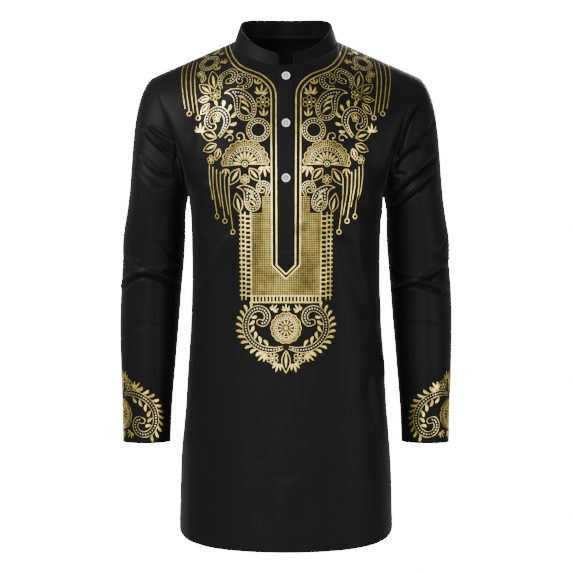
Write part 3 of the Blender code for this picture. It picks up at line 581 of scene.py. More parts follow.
def cloth_wall(name, outer, inner, flat, finish, closed=False, missing=None):
    # closed joins the last column to the first; flat then has one column more than outer.
    rows, columns = outer.shape[:2]
    wide = columns if closed else columns - 1
    number = np.arange(rows * columns).reshape(rows, columns)
    if closed:
        number = np.concatenate([number, number[:, :1]], axis=1)
    place = np.arange(flat.shape[0] * flat.shape[1]).reshape(flat.shape[:2])
    present = np.ones((rows - 1, wide), bool) if missing is None else ~missing

    def corners(of):
        ring = of[:-1, :-1], of[:-1, 1:], of[1:, 1:], of[1:, :-1]
        return np.stack([grid[present] for grid in ring], axis=-1)

    faces, uvs = corners(number), corners(place)
    count = rows * columns
    rim = [r for r in rim_of(present) if not (closed and {c for _, c in r} in ({0}, {wide}))]
    rim_faces = np.array(
        [(number[b], number[a], number[a] + count, number[b] + count) for a, b in rim]
    )
    rim_uvs = np.array([(place[b], place[a], place[a], place[b]) for a, b in rim])
    faces = np.concatenate([faces, faces[:, ::-1] + count, rim_faces])
    uvs = np.concatenate([uvs, uvs[:, ::-1], rim_uvs])

    vertices = np.concatenate([outer.reshape(-1, 3), inner.reshape(-1, 3)])
    a, b, c, d = (vertices[faces[:, k]] for k in range(4))
    volume = (a * (np.cross(b, c) + np.cross(c, d))).sum() / 6
    if volume < 0:
        faces, uvs = faces[:, ::-1], uvs[:, ::-1]
    mesh = bpy.data.meshes.new(name)
    mesh.from_pydata(vertices, [], faces.tolist())
    layer = mesh.uv_layers.new(name="flat cloth")
    layer.uv.foreach_set("vector", flat.reshape(-1, 2)[uvs.reshape(-1)].ravel().astype(np.float32))
    mesh.shade_smooth()
    mesh.set_sharp_from_angle(angle=SHADE_ANGLE)
    mesh.materials.append(finish)
    print(f"{name}: {len(faces)} faces, {abs(volume) * 1e6:.0f} cm3")
    return placed(name, mesh)


def trim_unused(piece):
    # A cut-out leaves points that no face uses.
    alone(piece, "EDIT")
    bpy.ops.mesh.select_all(action="SELECT")
    bpy.ops.mesh.delete_loose(use_verts=True, use_edges=True, use_faces=False)
    bpy.ops.object.mode_set(mode="OBJECT")


# %% [markdown]
# ## The flat pattern
#
# The print and the weave belong to the flat cloth, before it was sewn. Each panel is
# therefore laid flat: a coarse copy of its form is unwrapped, which keeps angles true, and
# then turned and scaled until its centre line is upright and as long as it is on the shirt.
# The finer grid reads its flat places from this one.

# %% Lay a panel flat
FLAT_EVERY = 4  # rows and columns of the fine grid for each one of the coarse copy


def spread(values, at, wanted):
    # Linear interpolation of a grid's rows, then of its columns.
    for axis, (old, new) in enumerate(zip(at, wanted)):
        low = np.clip(np.searchsorted(old, new, side="right") - 1, 0, len(old) - 2)
        share = (new - old[low]) / (old[low + 1] - old[low])
        share = share.reshape([-1 if k == axis else 1 for k in range(values.ndim)])
        near, far = np.take(values, low, axis), np.take(values, low + 1, axis)
        values = near + (far - near) * share
    return values


def every_few(count, *others):
    return np.unique(np.concatenate([np.arange(0, count, FLAT_EVERY), [count - 1], *others]))


def laid_flat(form, rows, columns, upright):
    # The coarse copy keeps the columns where the neck seam meets the shoulder seams.
    corners = np.flatnonzero(np.abs(np.abs(columns) - NECK_SHARE) < NEAR)
    few_rows, few_columns = every_few(len(rows)), every_few(len(columns), corners, [upright])
    few = form[np.ix_(few_rows, few_columns)]
    high, wide = few.shape[:2]
    number = np.arange(high * wide).reshape(high, wide)
    faces = np.stack([number[:-1, :-1], number[:-1, 1:], number[1:, 1:], number[1:, :-1]], -1)
    mesh = bpy.data.meshes.new("coarse copy")
    mesh.from_pydata(few.reshape(-1, 3), [], faces.reshape(-1, 4).tolist())
    mesh.uv_layers.new(name="flat")
    copy = placed("coarse copy", mesh)
    alone(copy, "EDIT")
    bpy.ops.mesh.select_all(action="SELECT")
    bpy.ops.uv.unwrap(method="ANGLE_BASED", margin=0.0)
    bpy.ops.object.mode_set(mode="OBJECT")
    uv = np.zeros(len(mesh.loops) * 2, np.float32)
    mesh.uv_layers[0].uv.foreach_get("vector", uv)
    corner = np.zeros(len(mesh.loops), np.int32)
    mesh.loops.foreach_get("vertex_index", corner)
    flat = np.zeros((high * wide, 2))
    flat[corner] = uv.reshape(-1, 2)
    flat = flat.reshape(high, wide, 2)
    bpy.data.objects.remove(copy)

    # The centre line is turned upright, from the hem up, and everything is scaled with it.
    line = flat[:, np.searchsorted(few_columns, upright)]
    along = (line[-1] - line[0]) / np.linalg.norm(line[-1] - line[0])
    long = np.linalg.norm(np.diff(form[:, upright], axis=0), axis=1).sum()
    scale = long / np.linalg.norm(np.diff(line, axis=0), axis=1).sum()
    off = (flat - line[-1]) * scale
    across = np.array([along[1], -along[0]])
    flat = np.stack([off @ across, off @ along], axis=-1)
    if flat[0, -1, 0] * few[0, -1, 0] < 0:
        flat[..., 0] *= -1
    return spread(flat, (rows[few_rows], columns[few_columns]), (rows, columns))


# %% [markdown]
# ## Shader maths
#
# A finish is a small graph of nodes. Writing it as Python expressions keeps it readable: a
# `Wire` stands for a socket, and `a * b + 1` on wires adds the Math nodes that work it out.
# Any other node comes from `Finish.node`, which takes its settings and what its sockets get.


# %% Wires and finishes
class Wire:
    def __init__(self, finish, socket):
        self.finish, self.socket = finish, socket

    def maths(self, operation, *values):
        return self.finish.node("ShaderNodeMath", {"operation": operation}, *values)

    def __add__(self, other):
        return self.maths("ADD", self, other)

    def __mul__(self, other):
        return self.maths("MULTIPLY", self, other)

    def __sub__(self, other):
        return self.maths("SUBTRACT", self, other)

    def sine(self):
        return self.maths("SINE", self)


class Finish:
    def __init__(self, name, **constants):
        self.material = bpy.data.materials.new(name)
        self.material.use_nodes = True
        self.nodes = self.material.node_tree.nodes
        self.shader = self.nodes["Principled BSDF"]
        for socket, value in constants.items():
            self.shader.inputs[socket.replace("_", " ")].default_value = value

    def feed(self, socket, value):
        if isinstance(value, Wire):
            self.material.node_tree.links.new(value.socket, socket)
        elif value is not None:
            socket.default_value = value

    def node(self, kind, settings, *values, out=0, **named):
        made = self.nodes.new(kind)
        for setting, value in settings.items():
            setattr(made, setting, value)
        for socket, value in zip(made.inputs, values):
            self.feed(socket, value)
        for name, value in named.items():
            self.feed(made.inputs[name.replace("_", " ")], value)
        return Wire(self, made.outputs[out])

    def place(self, kind="Object"):
        kinds = ["Generated", "Normal", "UV", "Object"]
        return self.node("ShaderNodeTexCoord", {}, out=kinds.index(kind))

    def parts(self, vector):
        return [self.node("ShaderNodeSeparateXYZ", {}, vector, out=axis) for axis in range(3)]

    def noise(self, vector, scale, detail=2.0):
        return self.node("ShaderNodeTexNoise", {}, Vector=vector, Scale=scale, Detail=detail)

    def stretched(self, vector, turn, size):
        return self.node("ShaderNodeMapping", {}, vector, (0, 0, 0), turn, size)

    def blend(self, share, first, second):
        made = self.nodes.new("ShaderNodeMix")
        made.data_type = "RGBA"
        for socket, value in ((0, share), (6, first), (7, second)):
            self.feed(made.inputs[socket], value)
        return Wire(self, made.outputs[2])

    def to(self, **wires):
        for name, wire in wires.items():
            self.feed(self.shader.inputs[name.replace("_", " ")], wire)

    def bump(self, height, strength, distance):
        bump = self.node(
            "ShaderNodeBump", {}, Height=height, Strength=strength, Distance=distance
        )
        self.to(Normal=bump)


# %% [markdown]
# ## The black cloth
#
# The cloth is a smooth polyester satin twill: nearly black, dull where it faces you and with
# a soft sheen where light skims it. Its threads are far finer than its folds, so they are a
# bump that follows the flat cloth's own map, with thicker and thinner threads among them,
# and a faint variation of tone keeps large areas from looking like plastic.

# %% Cloth finish
TWILL, RIB_SLOPE = 0.0011, 1.6  # metres from one diagonal rib to the next, and its rise
SLUBS, CLOUDS = 900, 11  # of thick threads and of tone, per metre


def cloth_finish(name, tone=0.0040, rough=0.48, twill=TWILL, strength=0.22):
    made = Finish(name, Specular_IOR_Level=0.065, Sheen_Weight=0.05, Sheen_Roughness=0.4)
    flat = made.place("UV")
    across, down, _ = made.parts(flat)
    slub = made.noise(made.stretched(flat, (0, 0, 0), (1, 0.16, 1)), SLUBS, 2)
    rib = ((across + down * RIB_SLOPE) * (TAU / twill)).sine()
    thread = (across * (TAU / twill * 2)).sine() * (down * (TAU / twill * 2)).sine()
    cloud = made.noise(made.place(), CLOUDS, 3)
    dark = (tone * 0.80, tone * 0.79, tone * 0.80, 1)
    light = (tone * 1.22, tone * 1.22, tone * 1.24, 1)
    made.to(
        Base_Color=made.blend(cloud * 0.8 + slub * 0.2, dark, light),
        Roughness=cloud * 0.08 + slub * 0.06 + (rough - 0.07),
    )
    made.bump(rib * 0.5 + thread * 0.25 + slub * 0.8, strength, 0.00012)
    return made.material


black_cloth = cloth_finish("black cloth")
print("cloth:", len(black_cloth.node_tree.nodes), "nodes")

# %% [markdown]
# ## Front and back
#
# Each panel now gets its fine grid. Creases and a little rumple move it along its normals.
# A seam pulls the cloth in, so a narrow valley with small puckers runs beside every seam.
# The hem is turned up inside, so the wall is thicker there, and the front is slit behind its
# placket. The creases die away before the seams, where the pieces have to meet.

# %% Grids of the panels
CLOTH, HEM_CLOTH = 0.0016, 0.0024
HEM_TURN, HEM_STEP = 0.012, 1.06  # the turned hem's height, and the row just above it
NECK_CELLS, SHOULDER_CELLS, BODY_CELLS, CHEST_CELLS = 28, 46, 150, 84
SLOT_HALF_WIDTH, SLOT_END_Z, PLACKET_HALF_WIDTH = 0.0075, -0.345, 0.0127
SEAM_DEPTH, SEAM_WIDTH = 0.0007, 0.0028
PUCKER, PUCKER_LENGTH, PUCKER_WIDTH = 0.00022, 0.0085, 0.007
PUCKER_SHIFT, PUCKER_SHIFTS = 2, 31  # they aren't evenly apart


def across_at(distance):
    _, half_width, _, _, square = BODY_SECTIONS[-1]
    return distance / (half_width * (1 + square) * math.pi / 2)


def panel_rows():
    turn = HEM_TURN / (ARMPIT_Z - HEM_Z["front"]) * ARMPIT_ROW
    hem = [0.0, turn * 0.12, turn * 0.33, turn * 0.66, turn]
    body = np.linspace(turn * HEM_STEP, ARMPIT_ROW, BODY_CELLS + 1)
    chest = np.linspace(ARMPIT_ROW, 1, CHEST_CELLS + 1)[1:]
    return np.concatenate([hem, body, chest])


def panel_columns(own=()):
    neck = [c for c in np.linspace(0, NECK_SHARE, NECK_CELLS + 1) if c > max(own, default=0) * 1.05]
    half = [0, *own, *neck, *np.linspace(NECK_SHARE, 1, SHOULDER_CELLS + 1)[1:]]
    return np.array([-c for c in half[:0:-1]] + half)


def along(grid, axis):
    # How far each point lies along its row or column, on the surface.
    steps = np.linalg.norm(np.diff(grid, axis=axis), axis=-1)
    start = np.zeros_like(np.take(steps, [0], axis))
    return np.concatenate([start, np.cumsum(steps, axis)], axis)


def seam_valley(away, run):
    uneven = PUCKER_SHIFT * np.sin(run * PUCKER_SHIFTS)
    pucker = PUCKER * np.sin(run * TAU / PUCKER_LENGTH + uneven) ** 2
    pucker = pucker * np.exp(-away / PUCKER_WIDTH) * smooth(away / SEAM_WIDTH)
    return SEAM_DEPTH * np.exp(-((away / SEAM_WIDTH) ** 2)) + pucker


def panel_grids(face, columns, rows):
    u, v = np.meshgrid(columns, rows)
    form = panel_point(face, u, v)
    normals = panel_normal(face, u, v)
    shoulder = np.abs(columns) >= NECK_SHARE
    normals[-1, shoulder] = shoulder_normal(np.sign(columns[shoulder]))
    armhole = rows >= ARMPIT_ROW - NEAR
    up = np.clip((rows[armhole] - ARMPIT_ROW) / (1 - ARMPIT_ROW), 0, 1)
    for column, side in ((0, -1), (-1, 1)):
        normals[armhole, column] = armhole_normal(face, side, up)
    fade = smooth((1 - np.abs(u)) / SEAM_CALM) * smooth((1 - v) / TOP_CALM)
    x, _, z = np.moveaxis(form, -1, 0)
    moved = (crease_depth(face, x, z) + rumple(x, z, 1 if face == "front" else 2)) * fade
    wide, high = along(form, 1), along(form, 0)
    for away, run in ((wide, high), (wide[:, -1:] - wide, high), (high[-1:] - high, wide)):
        moved = moved + seam_valley(away, run)
    return form, form - normals * moved[..., None], normals


rows = panel_rows()
columns = {
    "front": panel_columns((across_at(SLOT_HALF_WIDTH), across_at(PLACKET_HALF_WIDTH))),
    "back": panel_columns(),
}
hem_rows = (rows <= rows[4] + NEAR)[:, None, None]
thick = np.where(hem_rows, HEM_CLOTH, CLOTH)
panels, patterns = {}, {}
for face in ("front", "back"):
    form, outer, normals = panel_grids(face, columns[face], rows)
    flat = laid_flat(form, rows, columns[face], len(columns[face]) // 2)
    cut = None
    if face == "front":
        centre = len(columns[face]) // 2
        middle = (columns[face][1:] + columns[face][:-1]) / 2
        high = (outer[1:, centre, 2] + outer[:-1, centre, 2]) / 2
        cut = (high > SLOT_END_Z)[:, None] & (np.abs(middle) < across_at(SLOT_HALF_WIDTH))[None, :]
    inner = outer - normals * thick
    piece = cloth_wall(f"cloth_{face}", outer, inner, flat, black_cloth, missing=cut)
    trim_unused(piece)
    shirt_piece(piece, "cloth", face)
    # The back's flat is turned over, so that what is drawn on it faces out.
    way = (1, 1) if face == "front" else (-1, 1)
    panels[face], patterns[face] = piece, (flat * way, outer, normals)
    size = np.ptp(flat.reshape(-1, 2), axis=0)
    print(f"{face}: cut {size[0]:.3f} x {size[1]:.3f} m flat")

# %% [markdown]
# ## Sleeves
#
# A sleeve is cut flat and sewn into a tube under the arm, then its cap is eased into the
# armhole. It is built as a closed grid whose first row is the armhole's own points, with as
# many columns as the front and the back have rows there, so the seam has no gap in it.

# %% Grids of the sleeves
SLEEVE_COLUMNS, CAP_CELLS, OUTER_LINE = 2 * CHEST_CELLS, 110, [CHEST_CELLS]
ARM_STOPS, ARM_CELLS = (0.45, 0.65), (14, 80, 76)  # the elbow has the closest rows


def sleeve_rows():
    turn = (1 - CAP_ROW) * HEM_TURN / (CAP_Z - CUFF_Z)
    stops = (CAP_ROW, *ARM_STOPS, 1 - turn * HEM_STEP)
    arm = [np.linspace(a, b, n + 1)[1:] for a, b, n in zip(stops, stops[1:], ARM_CELLS)]
    hem = 1 - turn * np.array([1, 0.66, 0.33, 0.12, 0])
    return np.concatenate([np.linspace(0, CAP_ROW, CAP_CELLS + 1), *arm, hem])


def settled(moved):
    # Each point takes half of its depth from its neighbours, as cloth is too stiff for more.
    moved = (2 * moved + np.roll(moved, 1, axis=1) + np.roll(moved, -1, axis=1)) / 4
    above, below = np.roll(moved, 1, axis=0), np.roll(moved, -1, axis=0)
    above[0], below[-1] = moved[0], moved[-1]
    return (2 * moved + above + below) / 4


def sleeve_grids(side, around, down):
    u, v = np.meshgrid(around, down)
    form = sleeve_point(side, u, v)
    normals = sleeve_normal(side, u, v)
    for face, own in (("front", around <= 0.5), ("back", around > 0.5)):
        up = 2 * around[own] if face == "front" else 2 - 2 * around[own]
        normals[0, own] = armhole_normal(face, side, up)
    name = "sleeve_left" if side > 0 else "sleeve_right"
    x, _, z = np.moveaxis(form, -1, 0)
    sides = (crease_depth(f"{name} {face}", x, z) for face in ("front", "back"))
    moved = np.where(u <= 0.5, *sides)
    moved = settled(moved) + rumple(np.abs(x) + form[..., 1], z, 3 + side)
    moved = moved * smooth(np.abs(np.sin(TAU * u)) / SIDE_CALM) * smooth(v / CAP_CALM)
    moved = moved + seam_valley(along(form, 0), along(form, 1))
    return form, form - normals * moved[..., None], normals


def all_round(grid):
    # The first column again at the end, as the flat cloth has both of its edges.
    return np.concatenate([grid, grid[:, :1]], axis=1)


down = sleeve_rows()
around = np.arange(SLEEVE_COLUMNS) / SLEEVE_COLUMNS
for name, side in (("sleeve_left", 1), ("sleeve_right", -1)):
    form, outer, normals = sleeve_grids(side, around, down)
    wall = np.where((down >= down[-5] - NEAR)[:, None, None], HEM_CLOTH, CLOTH)
    # Flat: the width round the sleeve from its outer line, and the length down it.
    width, length = along(all_round(form), 1), along(form, 0)[:, OUTER_LINE]
    flat = np.stack([(width - width[:, OUTER_LINE]) * side, 0 * width - length], -1)
    inner = outer - normals * wall
    piece = cloth_wall(f"cloth_{name}", outer, inner, flat, black_cloth, closed=True)
    panels[name] = shirt_piece(piece, "cloth", name)
    patterns[name] = (flat, all_round(outer), all_round(normals))

# %% [markdown]
# ## Collar
#
# The collar is a stand band with no fall: it rises from the neck seam, leans in towards the
# neck and leaves a gap at the front between two rounded corners. It is stiffer than the rest
# because it is two layers with an interlining, so it has no creases, only a soft edge and a
# line of stitching near it.

# %% The collar band
COLLAR_CLOTH, COLLAR_HALF_GAP, COLLAR_CORNER = 0.0020, 0.0125, 0.009
TOP_HALF_WIDTH, TOP_FRONT, TOP_BACK = 0.0765, 0.0765, 0.069
TOP_SIDE_Z, TOP_TILT, TOP_BOW, COLLAR_FOOT = 0.0345, 0.52, 3.15, -0.0012
# Columns along a rounded corner, closest where it is steepest.
CORNER_COLUMNS = (0, 0.02, 0.06, 0.12, 0.20, 0.30, 0.42, 0.56, 0.72, 0.88, 1.0)
COLLAR_CELLS, COLLAR_HIGH, CORNER_CLEAR = 20, 0.04, 0.008
EDGE_ROUND, EDGE_WIDTH, EDGE_ROWS = 0.00035, 0.0012, np.array([0.25, 0.55, 1.0])


def collar_top_point(turn):
    angle = turn * math.pi / 2
    y = -np.where(np.cos(angle) >= 0, TOP_FRONT, TOP_BACK) * np.cos(angle)
    z = TOP_SIDE_Z + TOP_TILT * y - TOP_BOW * y**2
    return points(TOP_HALF_WIDTH * np.sin(angle), y, z)


def collar_turns():
    end = COLLAR_HALF_GAP / NECK_FRONT / (math.pi / 2)
    corner = end + COLLAR_CORNER * np.array(CORNER_COLUMNS) / NECK_FRONT / (math.pi / 2)
    seam = {f: c[(c >= 0) & (c < NECK_SHARE + NEAR)] for f, c in columns.items()}
    front, back = neck_turn(seam["front"]), neck_turn(seam["back"])
    half = np.concatenate([corner, front[front > corner[-1] + CORNER_CLEAR], 2 - back[-2::-1]])
    return np.concatenate([half, 4 - half[-2::-1]])


def collar_grid(turns, shares):
    base = neck_point(turns)
    base[..., 2] += COLLAR_FOOT
    top = collar_top_point(turns)
    reach = np.minimum(turns, 4 - turns) * math.pi / 2 * NECK_FRONT - COLLAR_HALF_GAP
    cut = np.clip(COLLAR_CORNER - reach, 0, COLLAR_CORNER)
    fall = COLLAR_CORNER - np.sqrt(COLLAR_CORNER**2 - cut**2)
    high = 1 - fall / np.linalg.norm(top - base, axis=-1)
    outer = base + (top - base) * (shares[:, None] * high)[..., None]
    normals = unit(np.cross(np.gradient(outer, axis=1), np.gradient(outer, axis=0)))
    return outer, normals


def soft_edges(grid, normals, round_off=EDGE_ROUND):
    # Both faces of a strip come together a little at its free edges.
    wide, high = along(grid, 1), along(grid, 0)
    away = np.minimum.reduce([wide, wide[:, -1:] - wide, high, high[-1:] - high])
    return (round_off * (1 - smooth(away / EDGE_WIDTH)))[..., None] * normals


def with_edge_rows(cells, long):
    near = EDGE_ROWS * EDGE_WIDTH / long
    shares = np.concatenate([np.linspace(0, 1, cells + 1), near, 1 - near])
    return np.unique(np.round(shares, 6))


def strip_flat(grid):
    return np.stack([along(grid, 1), along(grid, 0)], -1)


outer, normals = collar_grid(collar_turns(), with_edge_rows(COLLAR_CELLS, COLLAR_HIGH))
edge, flat = soft_edges(outer, normals), strip_flat(outer)
inner = outer - normals * COLLAR_CLOTH
collar = cloth_wall("cloth_collar", outer - edge, inner + edge, flat, black_cloth)
patterns["collar"] = (flat, outer, normals)

# %% [markdown]
# ## Placket
#
# The front is slit from the neck, and the slit is finished with two strips: one on top with
# the buttonholes and a pointed end, and one below that carries the buttons. Both follow the
# front's own points, moved out or in by the cloths between.

# %% The two strips
FACE_GAP, PLACKET_CLOTH = 0.0003, 0.0012
PLACKET_TIP_Z, PLACKET_POINT, PLACKET_TOP = -0.374, 0.014, 0.9995
PLACKET_CELLS, PLACKET_LONG = 150, 0.3
STRIP_ROUND, INNER_ROUND = 0.00025, 0.4  # the inner face is rounded less


def placket_grid(lift):
    reach = across_at(PLACKET_HALF_WIDTH)
    edge = np.array([0, 0.03, 0.07, 0.12])
    across = np.concatenate([edge, np.linspace(0.2, 0.8, 5), 1 - edge[::-1]]) * 2 - 1
    u, share = np.meshgrid(across * reach, with_edge_rows(PLACKET_CELLS, PLACKET_LONG))
    per_metre = ARMPIT_ROW / (ARMPIT_Z - HEM_Z["front"])
    tip = (PLACKET_TIP_Z - HEM_Z["front"]) * per_metre
    low = tip + PLACKET_POINT * per_metre * np.abs(u) / reach
    v = low + (PLACKET_TOP - low) * share
    normals = panel_normal("front", u, v)
    form = panel_point("front", u, v)
    x, _, z = np.moveaxis(form, -1, 0)
    moved = crease_depth("front", x, z) * smooth((1 - v) / TOP_CALM)
    return form + normals * (lift - moved)[..., None], normals


strips = {}
for name, lift in (("over", FACE_GAP), ("under", -CLOTH - FACE_GAP - PLACKET_CLOTH)):
    low, normals = placket_grid(lift)
    high, flat = low + normals * PLACKET_CLOTH, strip_flat(low)
    edge = soft_edges(low, normals, STRIP_ROUND)
    inner = low + edge * INNER_ROUND
    strips[name] = cloth_wall(f"cloth_placket_{name}", high - edge, inner, flat, black_cloth)
    patterns[name] = (flat, high, normals)

# %% [markdown]
# ## Neck label
#
# A short woven label is sewn inside the collar's back. It is left bare: black satin ribbon
# with its ends folded under, and a row of small stitches at each end.

# %% The label
LABEL_CLOTH, LABEL_WIDE, LABEL_HIGH = 0.0010, 0.078, 0.0200
LABEL_RAISED, LABEL_ROUND = 0.72, 0.0002

label_cloth = cloth_finish("label satin", tone=0.0012, rough=0.44, twill=0.0008, strength=0.3)
middle = np.array([2.0])
stand = np.linalg.norm(collar_top_point(middle) - neck_point(middle))
low = (1 - LABEL_HIGH / stand) * LABEL_RAISED
heights = np.linspace(low, low + LABEL_HIGH / stand, 13)
half_turn = LABEL_WIDE / 2 / TOP_BACK / (math.pi / 2)
label_turns = np.linspace(2 - half_turn, 2 + half_turn, 49)
grid, normals = collar_grid(label_turns, heights)
near = grid - normals * (COLLAR_CLOTH + FACE_GAP)
edge, flat = soft_edges(near, normals, LABEL_ROUND), strip_flat(near)
face = near - normals * LABEL_CLOTH + edge
label = cloth_wall("neck_label_cloth", near - edge, face, flat, label_cloth)
# The label is seen from within the collar, so its flat is turned over for the stitches.
patterns["label"] = (flat * (-1, 1), face, -normals)
for piece, stands_for, slot in (
    (collar, "collar", "cloth"),
    (strips["over"], "placket_over", "cloth"),
    (strips["under"], "placket_under", "cloth"),
    (label, "neck_label", "label"),
):
    shirt_piece(piece, slot, stands_for)

# %% [markdown]
# ## Buttons
#
# Shirt buttons are turned from shell or cast in pearly resin: a disc with a raised rim, a
# dished middle and four holes, sewn on with crossed thread. One is modelled by hand. A disc
# is inset and pushed to make the rim, its corners are bevelled, and four drills cut the
# holes with Boolean modifiers. Two pairs of threads arch over its middle, and its hollow is
# painted a darker grey than its rim: painted shade in the dish. The others are copies, each
# turned onto its own place.

# %% One button
BUTTON_HEIGHTS = (-0.065, -0.142, -0.2295)
BUTTON_RADIUS, BUTTON_THICK = 0.0065, 0.0026
HOLE_RADIUS, HOLE_SPACING = 0.0010, 0.0029
THREAD_RADIUS, THREAD_HIGH = 0.00028, 0.0006
BUTTON_SIDES, HOLE_SIDES, BUTTON_BEVEL = 64, 20, 0.00035
RIM_EDGE, RIM_TOP, RIM_SLOPE, BACK_EDGE = 0.10, 0.14, 0.14, 0.24  # shares of its radius
DISH_DEEP = 0.38  # share of its thickness
HOLE_AWAY = HOLE_SPACING / math.sqrt(2)  # from the middle


def pick_faces(thing, wanted):
    # Selects faces by their place, in edit mode.
    bpy.ops.mesh.select_all(action="DESELECT")
    bpy.ops.object.mode_set(mode="OBJECT")
    for face in thing.data.polygons:
        face.select = wanted(face)
    bpy.ops.object.mode_set(mode="EDIT")
    bpy.ops.mesh.select_mode(type="FACE")


def apply_modifier(thing, kind, **settings):
    made = thing.modifiers.new(kind.lower(), kind)
    for setting, value in settings.items():
        setattr(made, setting, value)
    alone(thing)
    bpy.ops.object.modifier_apply(modifier=made.name)


def disc(sides, radius, depth, place):
    bpy.ops.mesh.primitive_cylinder_add(
        vertices=sides, radius=radius, depth=depth, location=place
    )
    return bpy.context.object


button = disc(BUTTON_SIDES, BUTTON_RADIUS, BUTTON_THICK, (0, 0, BUTTON_THICK / 2))
button.name = "button_shape"
bpy.ops.object.transform_apply(location=True)
alone(button, "EDIT")
pick_faces(button, lambda face: face.normal.z > 0.9)
for share, deep in ((RIM_EDGE, 0), (RIM_TOP, 0), (RIM_SLOPE, DISH_DEEP)):
    bpy.ops.mesh.inset(thickness=BUTTON_RADIUS * share, depth=-BUTTON_THICK * deep)
pick_faces(button, lambda face: face.normal.z < -0.9)
bpy.ops.mesh.inset(thickness=BUTTON_RADIUS * BACK_EDGE, depth=0)
bpy.ops.object.mode_set(mode="OBJECT")
corners = {"limit_method": "ANGLE", "angle_limit": math.radians(30)}
apply_modifier(button, "BEVEL", width=BUTTON_BEVEL, segments=3, **corners)

drills = []
for k in range(4):
    corner = math.pi / 4 + k * math.pi / 2
    place = (HOLE_AWAY * math.cos(corner), HOLE_AWAY * math.sin(corner), 0)
    drills.append(disc(HOLE_SIDES, HOLE_RADIUS, BUTTON_THICK * 4, place))
for drill in drills:
    apply_modifier(button, "BOOLEAN", object=drill, operation="DIFFERENCE", solver="EXACT")
    bpy.data.objects.remove(drill)
hollow = []
for face in button.data.polygons:
    if face.center.z < BUTTON_THICK * 0.9 and face.normal.z > 0.2:
        hollow.append(face.index)
print("button:", len(button.data.polygons), "faces,", len(hollow), "of them in the hollow")

# %% The threads that cross in its middle
DISH_Z = BUTTON_THICK * (1 - DISH_DEEP)
THREAD_LOW = DISH_Z - BUTTON_THICK * 0.5


def thread_over(start, end):
    # A thread comes out of one hole, arches over the middle and goes down the opposite one.
    middle = (start + end) / 2
    places = ((*start, THREAD_LOW), (*middle, DISH_Z + THREAD_HIGH), (*end, THREAD_LOW))
    bpy.ops.curve.primitive_bezier_curve_add(location=(0, 0, 0))
    curve = bpy.context.object
    line = curve.data.splines[0]
    line.bezier_points.add(1)
    for point, place in zip(line.bezier_points, places):
        point.co = place
        point.handle_left_type = point.handle_right_type = "AUTO"
    curve.data.dimensions = "3D"
    curve.data.resolution_u = 5
    curve.data.bevel_depth = THREAD_RADIUS
    curve.data.bevel_resolution = 1
    alone(curve)
    bpy.ops.object.convert(target="MESH")
    return bpy.context.object


crossing = []
for turn in (math.pi / 4, 3 * math.pi / 4):
    ahead, side = (Vector((math.cos(turn + s), math.sin(turn + s))) for s in (0, math.pi / 2))
    for by in (-1.1 * THREAD_RADIUS, 1.1 * THREAD_RADIUS):
        start, end = (side * by + ahead * away for away in (-HOLE_AWAY, HOLE_AWAY))
        crossing.append(thread_over(start, end))
alone(crossing[0])
for piece in crossing:
    piece.select_set(True)
bpy.ops.object.join()
button_threads = bpy.context.object
print("threads:", len(button_threads.data.polygons), "faces")

# %% [markdown]
# The shell has cloudy bands of milky white and grey under a clear polish, so its colour
# follows a stretched noise, and a thin coat gives it the wet shine.

# %% Shell finish and the thread
shell = Finish("button shell", Coat_Weight=0.5, Coat_Roughness=0.08, Specular_IOR_Level=0.5)
at = shell.stretched(shell.place(), (0.3, 0.5, 0), (1, 1, 2.2))
bands = shell.noise(at, 330, 3)
rings = {"wave_type": "RINGS"}
ripple = shell.node("ShaderNodeTexWave", rings, Vector=at, Scale=60, Distortion=9, Detail=2)
cloudy = bands * 0.7 + ripple * 0.3
shell.to(
    Base_Color=shell.blend(cloudy, (0.72, 0.71, 0.69, 1), (0.97, 0.96, 0.94, 1)),
    Roughness=bands * 0.10 + 0.16,
)
shell.bump(bands, 0.10, 0.00005)

# The hollow's finish is a darker grey than the shell: painted shade in the dished middle, where
# less light falls.
shaded_hollow = Finish("dull shell", Roughness=0.6, Specular_IOR_Level=0.3)
spots = shaded_hollow.noise(shaded_hollow.place(), 700, 3)
shaded_hollow.to(Base_Color=shaded_hollow.blend(spots, (0.20, 0.19, 0.18, 1), (0.42, 0.41, 0.39, 1)))

pale_thread = Finish("white thread", Roughness=0.7, Sheen_Weight=0.2)
ply = pale_thread.noise(pale_thread.place(), 5200, 2)
pale_thread.to(Base_Color=pale_thread.blend(ply, (0.70, 0.69, 0.66, 1), (0.95, 0.94, 0.92, 1)))
pale_thread.bump(ply, 0.5, 0.00006)

thread = Finish("black thread", Specular_IOR_Level=0.15, Sheen_Weight=0.05)
fuzz = thread.noise(thread.place(), 2600, 2)
thread.to(
    Base_Color=thread.blend(fuzz, (0.003, 0.003, 0.003, 1), (0.010, 0.010, 0.010, 1)),
    Roughness=fuzz * 0.2 + 0.42,
)
thread.bump(fuzz, 0.4, 0.00008)

# %% Set the buttons on the placket


def front_place(height):
    # The point and normal of the placket's face at a height on the centre front.
    low, high = 0.0, 1.0
    while high - low > NEAR:
        middle = (low + high) / 2
        below = panel_point("front", 0.0, middle)[2] < height
        low, high = (middle, high) if below else (low, middle)
    u, v = np.zeros(1), np.array([low])
    normal = panel_normal("front", u, v)[0]
    place = panel_point("front", u, v)[0]
    return place + normal * (2 * FACE_GAP + PLACKET_CLOTH), normal


def pose_of(place, normal):
    pose = Vector(normal).to_track_quat("Z", "Y").to_matrix().to_4x4()
    pose.translation = place
    return pose


def set_on(mesh, height, *finishes):
    # A copy of the mesh, moved to its place on the placket.
    mesh = mesh.copy()
    mesh.transform(pose_of(*front_place(height)))
    mesh.materials.clear()
    for finish in finishes:
        mesh.materials.append(finish.material)
    mesh.shade_smooth()
    mesh.set_sharp_from_angle(angle=math.radians(40))
    return mesh


